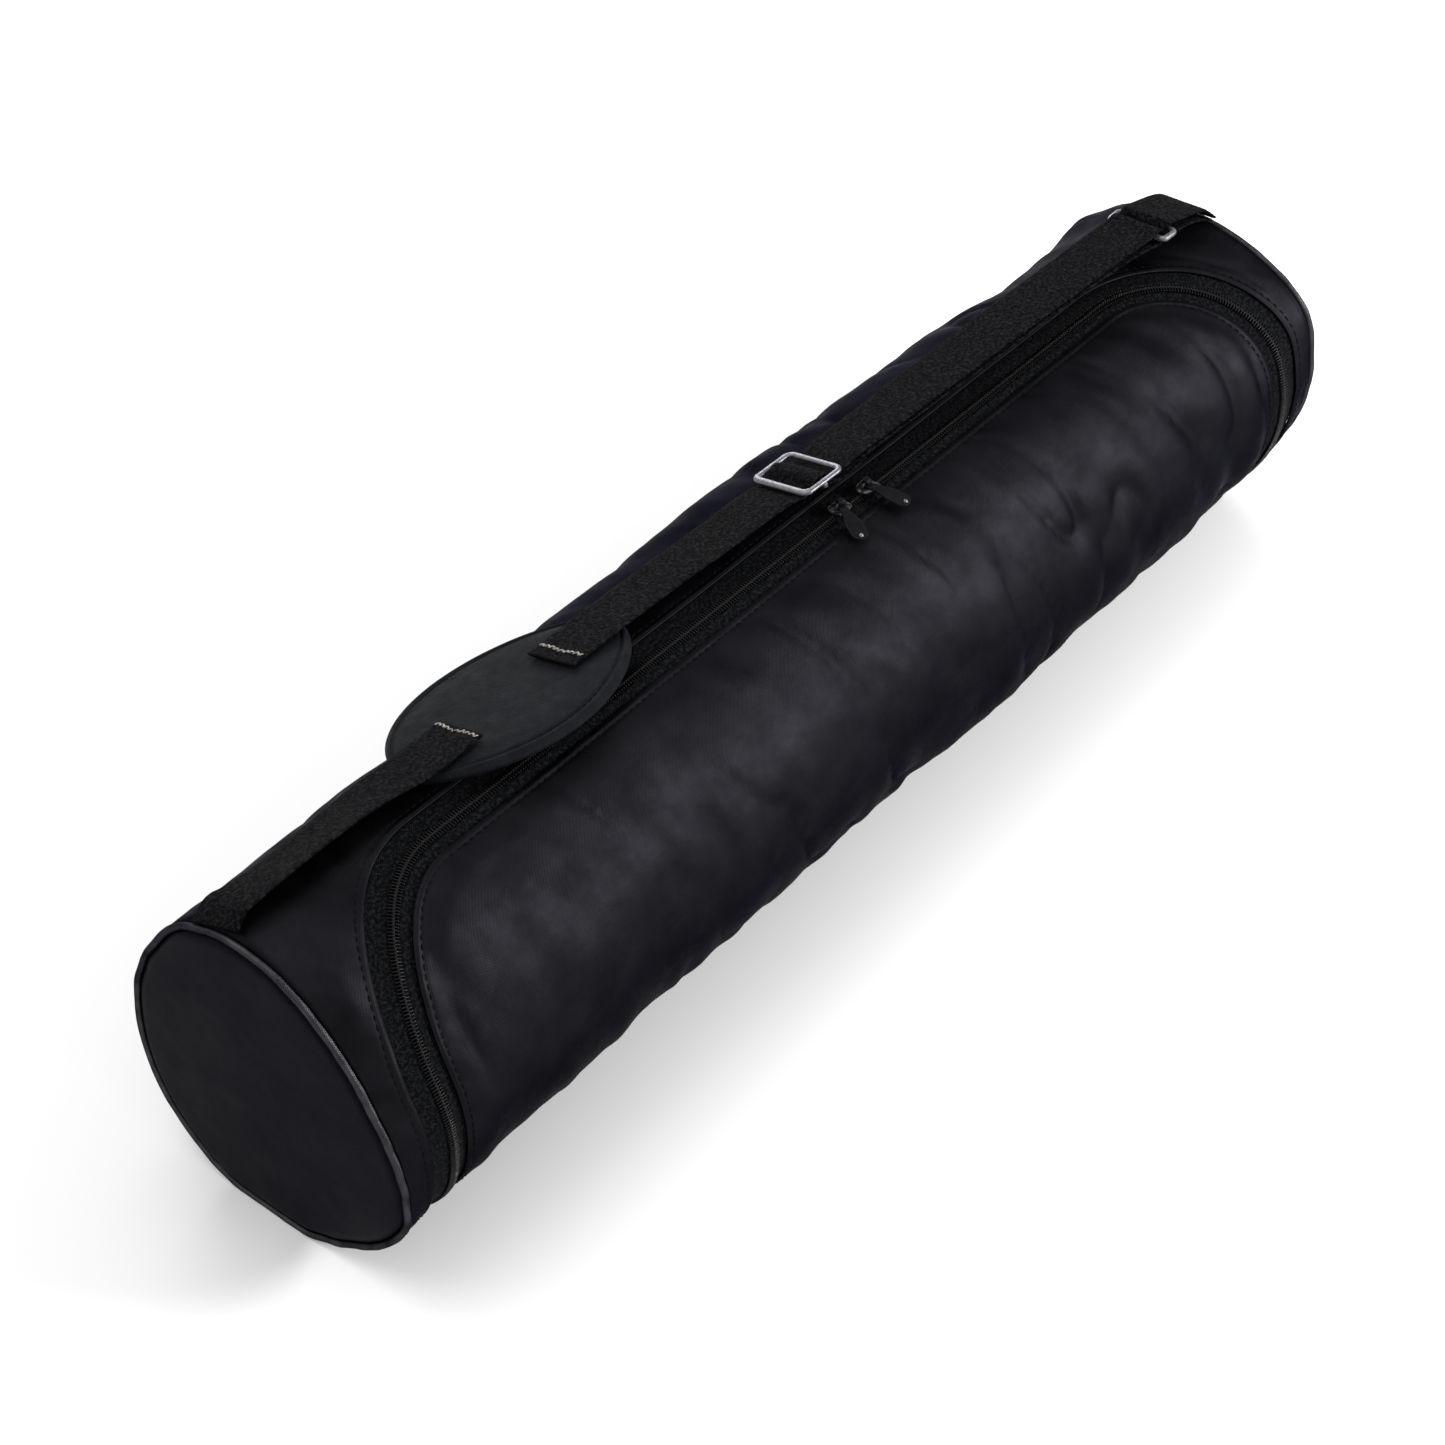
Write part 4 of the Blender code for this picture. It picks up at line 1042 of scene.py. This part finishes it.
def ring():
    """Rectangular ring of round rod."""
    middle = (on_line(RING_BARS[0], LOOP) + on_line(RING_BARS[1], LOOP)) / 2
    path = frame_path((RING_BARS[1] - RING_BARS[0]) / 2, WEBBING_WIDTH / 2 + 0.0022, 0.0022)
    roll = strap_roll(RING_BARS[0])
    points = middle + path @ np.array(((1, 0, 0), (0, cos(roll), sin(roll))))
    obj = loft_object("ring_rod", [(tube_rings(points, ROD, sides=18, closed=True), True)], METAL)
    declare(obj, "end_ring", "grey_metal", "ring")


# ---- stage ----

def camera():
    """The photograph's viewing angle: azimuth -50.4, elevation 43.5 degrees, a long lens."""
    azimuth, elevation = -50.381, 43.458
    data = bpy.data.cameras.new("camera")
    data.lens = 97.0
    data.sensor_width = 36.0
    obj = add_to_scene("camera", data)
    turn = Euler((radians(90 - elevation), 0, radians(azimuth)))
    obj.matrix_world = Matrix.LocRotScale((-1.0233, -0.817 + SHIFT_Y, 1.209 + AXIS_Z), turn, None)
    bpy.context.scene.camera = obj


def area_light(name, position, height, size, power):
    """A soft light aimed at a height over the middle of the floor."""
    data = bpy.data.lights.new(name, "AREA")
    data.shape = "RECTANGLE"
    data.size, data.size_y = size
    data.energy = power
    obj = add_to_scene(name, data)
    obj.location = position
    aim = Vector((0, 0, height)) - Vector(position)
    obj.rotation_euler = aim.to_track_quat("-Z", "Y").to_euler()


def studio():
    """Plain pale floor, white surroundings and three soft lights."""
    pale = Shader("stage", (0.9, 0.9, 0.9), 0.9).material
    floor = make_object("floor", [(-6, -6, 0), (6, -6, 0), (6, 6, 0), (-6, 6, 0)], [(0, 1, 2, 3)], [pale])
    floor.location.z = -0.0002
    world = bpy.data.worlds.new("studio")
    bpy.context.scene.world = world
    world.use_nodes = True
    background = world.node_tree.nodes["Background"].inputs
    background["Color"].default_value = (1.0, 1.0, 1.0, 1.0)
    background["Strength"].default_value = 0.66
    area_light("key", (0.92, -1.28, 0.86), 0.08, (0.7, 0.6), 34.0)
    area_light("top", (-0.5, 1.0, 2.6), 0.0, (3.0, 2.4), 44.0)
    area_light("back", (1.6, 2.3, 0.9), 0.1, (1.6, 1.0), 34.0)
    bpy.context.scene.view_settings.view_transform = "Standard"


def dress_nodes():
    """Materials for the CAD nodes that stay as they are."""
    kept = {FOAM: ("near_stiffener", "far_stiffener"), ENAMEL: ("zip_stop_near", "zip_stop_far"),
            BINDING: ("near_binding", "far_binding", "hinge_binding")}
    for material, names in kept.items():
        for name in names:
            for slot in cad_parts[name].material_slots:
                slot.material = material


camera()
studio()
front_flap()
body_sleeve()
zip_tape("zip_tape_outer", "zip_tape_body", "bag", 0.0008, BODY_EDGE + 0.0025)
zip_tape("zip_tape_inner", "zip_tape_flap", "flap", FLAP_EDGE - 0.0025, -0.0008)
zip_teeth("zip_teeth_outer", "zip_coil_body", "bag", 1)
zip_teeth("zip_teeth_inner", "zip_coil_flap", "flap", -1)
for offset, rider, label in ((BODY_EDGE + 0.0034, "bag", "sleeve_stitches"),
                             (FLAP_EDGE - 0.0034, "flap", "flap_stitches")):
    stitch_row(label, rider, zip_curve(offset, HINGE_S + 0.004, 0.0005)[0], -0.0001)
for name, position in SLIDERS.items():
    eye, basis = slider(name, position, -1 if name == "near" else 1)
    pull(name, eye, basis)
for name, sign in (("near", -1), ("far", 1)):
    end_panel(name, sign)
    piping(name, sign)
hinge_welt()
straps()
shoulder_pad()
pad_stitches()
for name, position in BARTACKS.items():
    bartack(name, position)
adjuster()
ring()
dress_nodes()
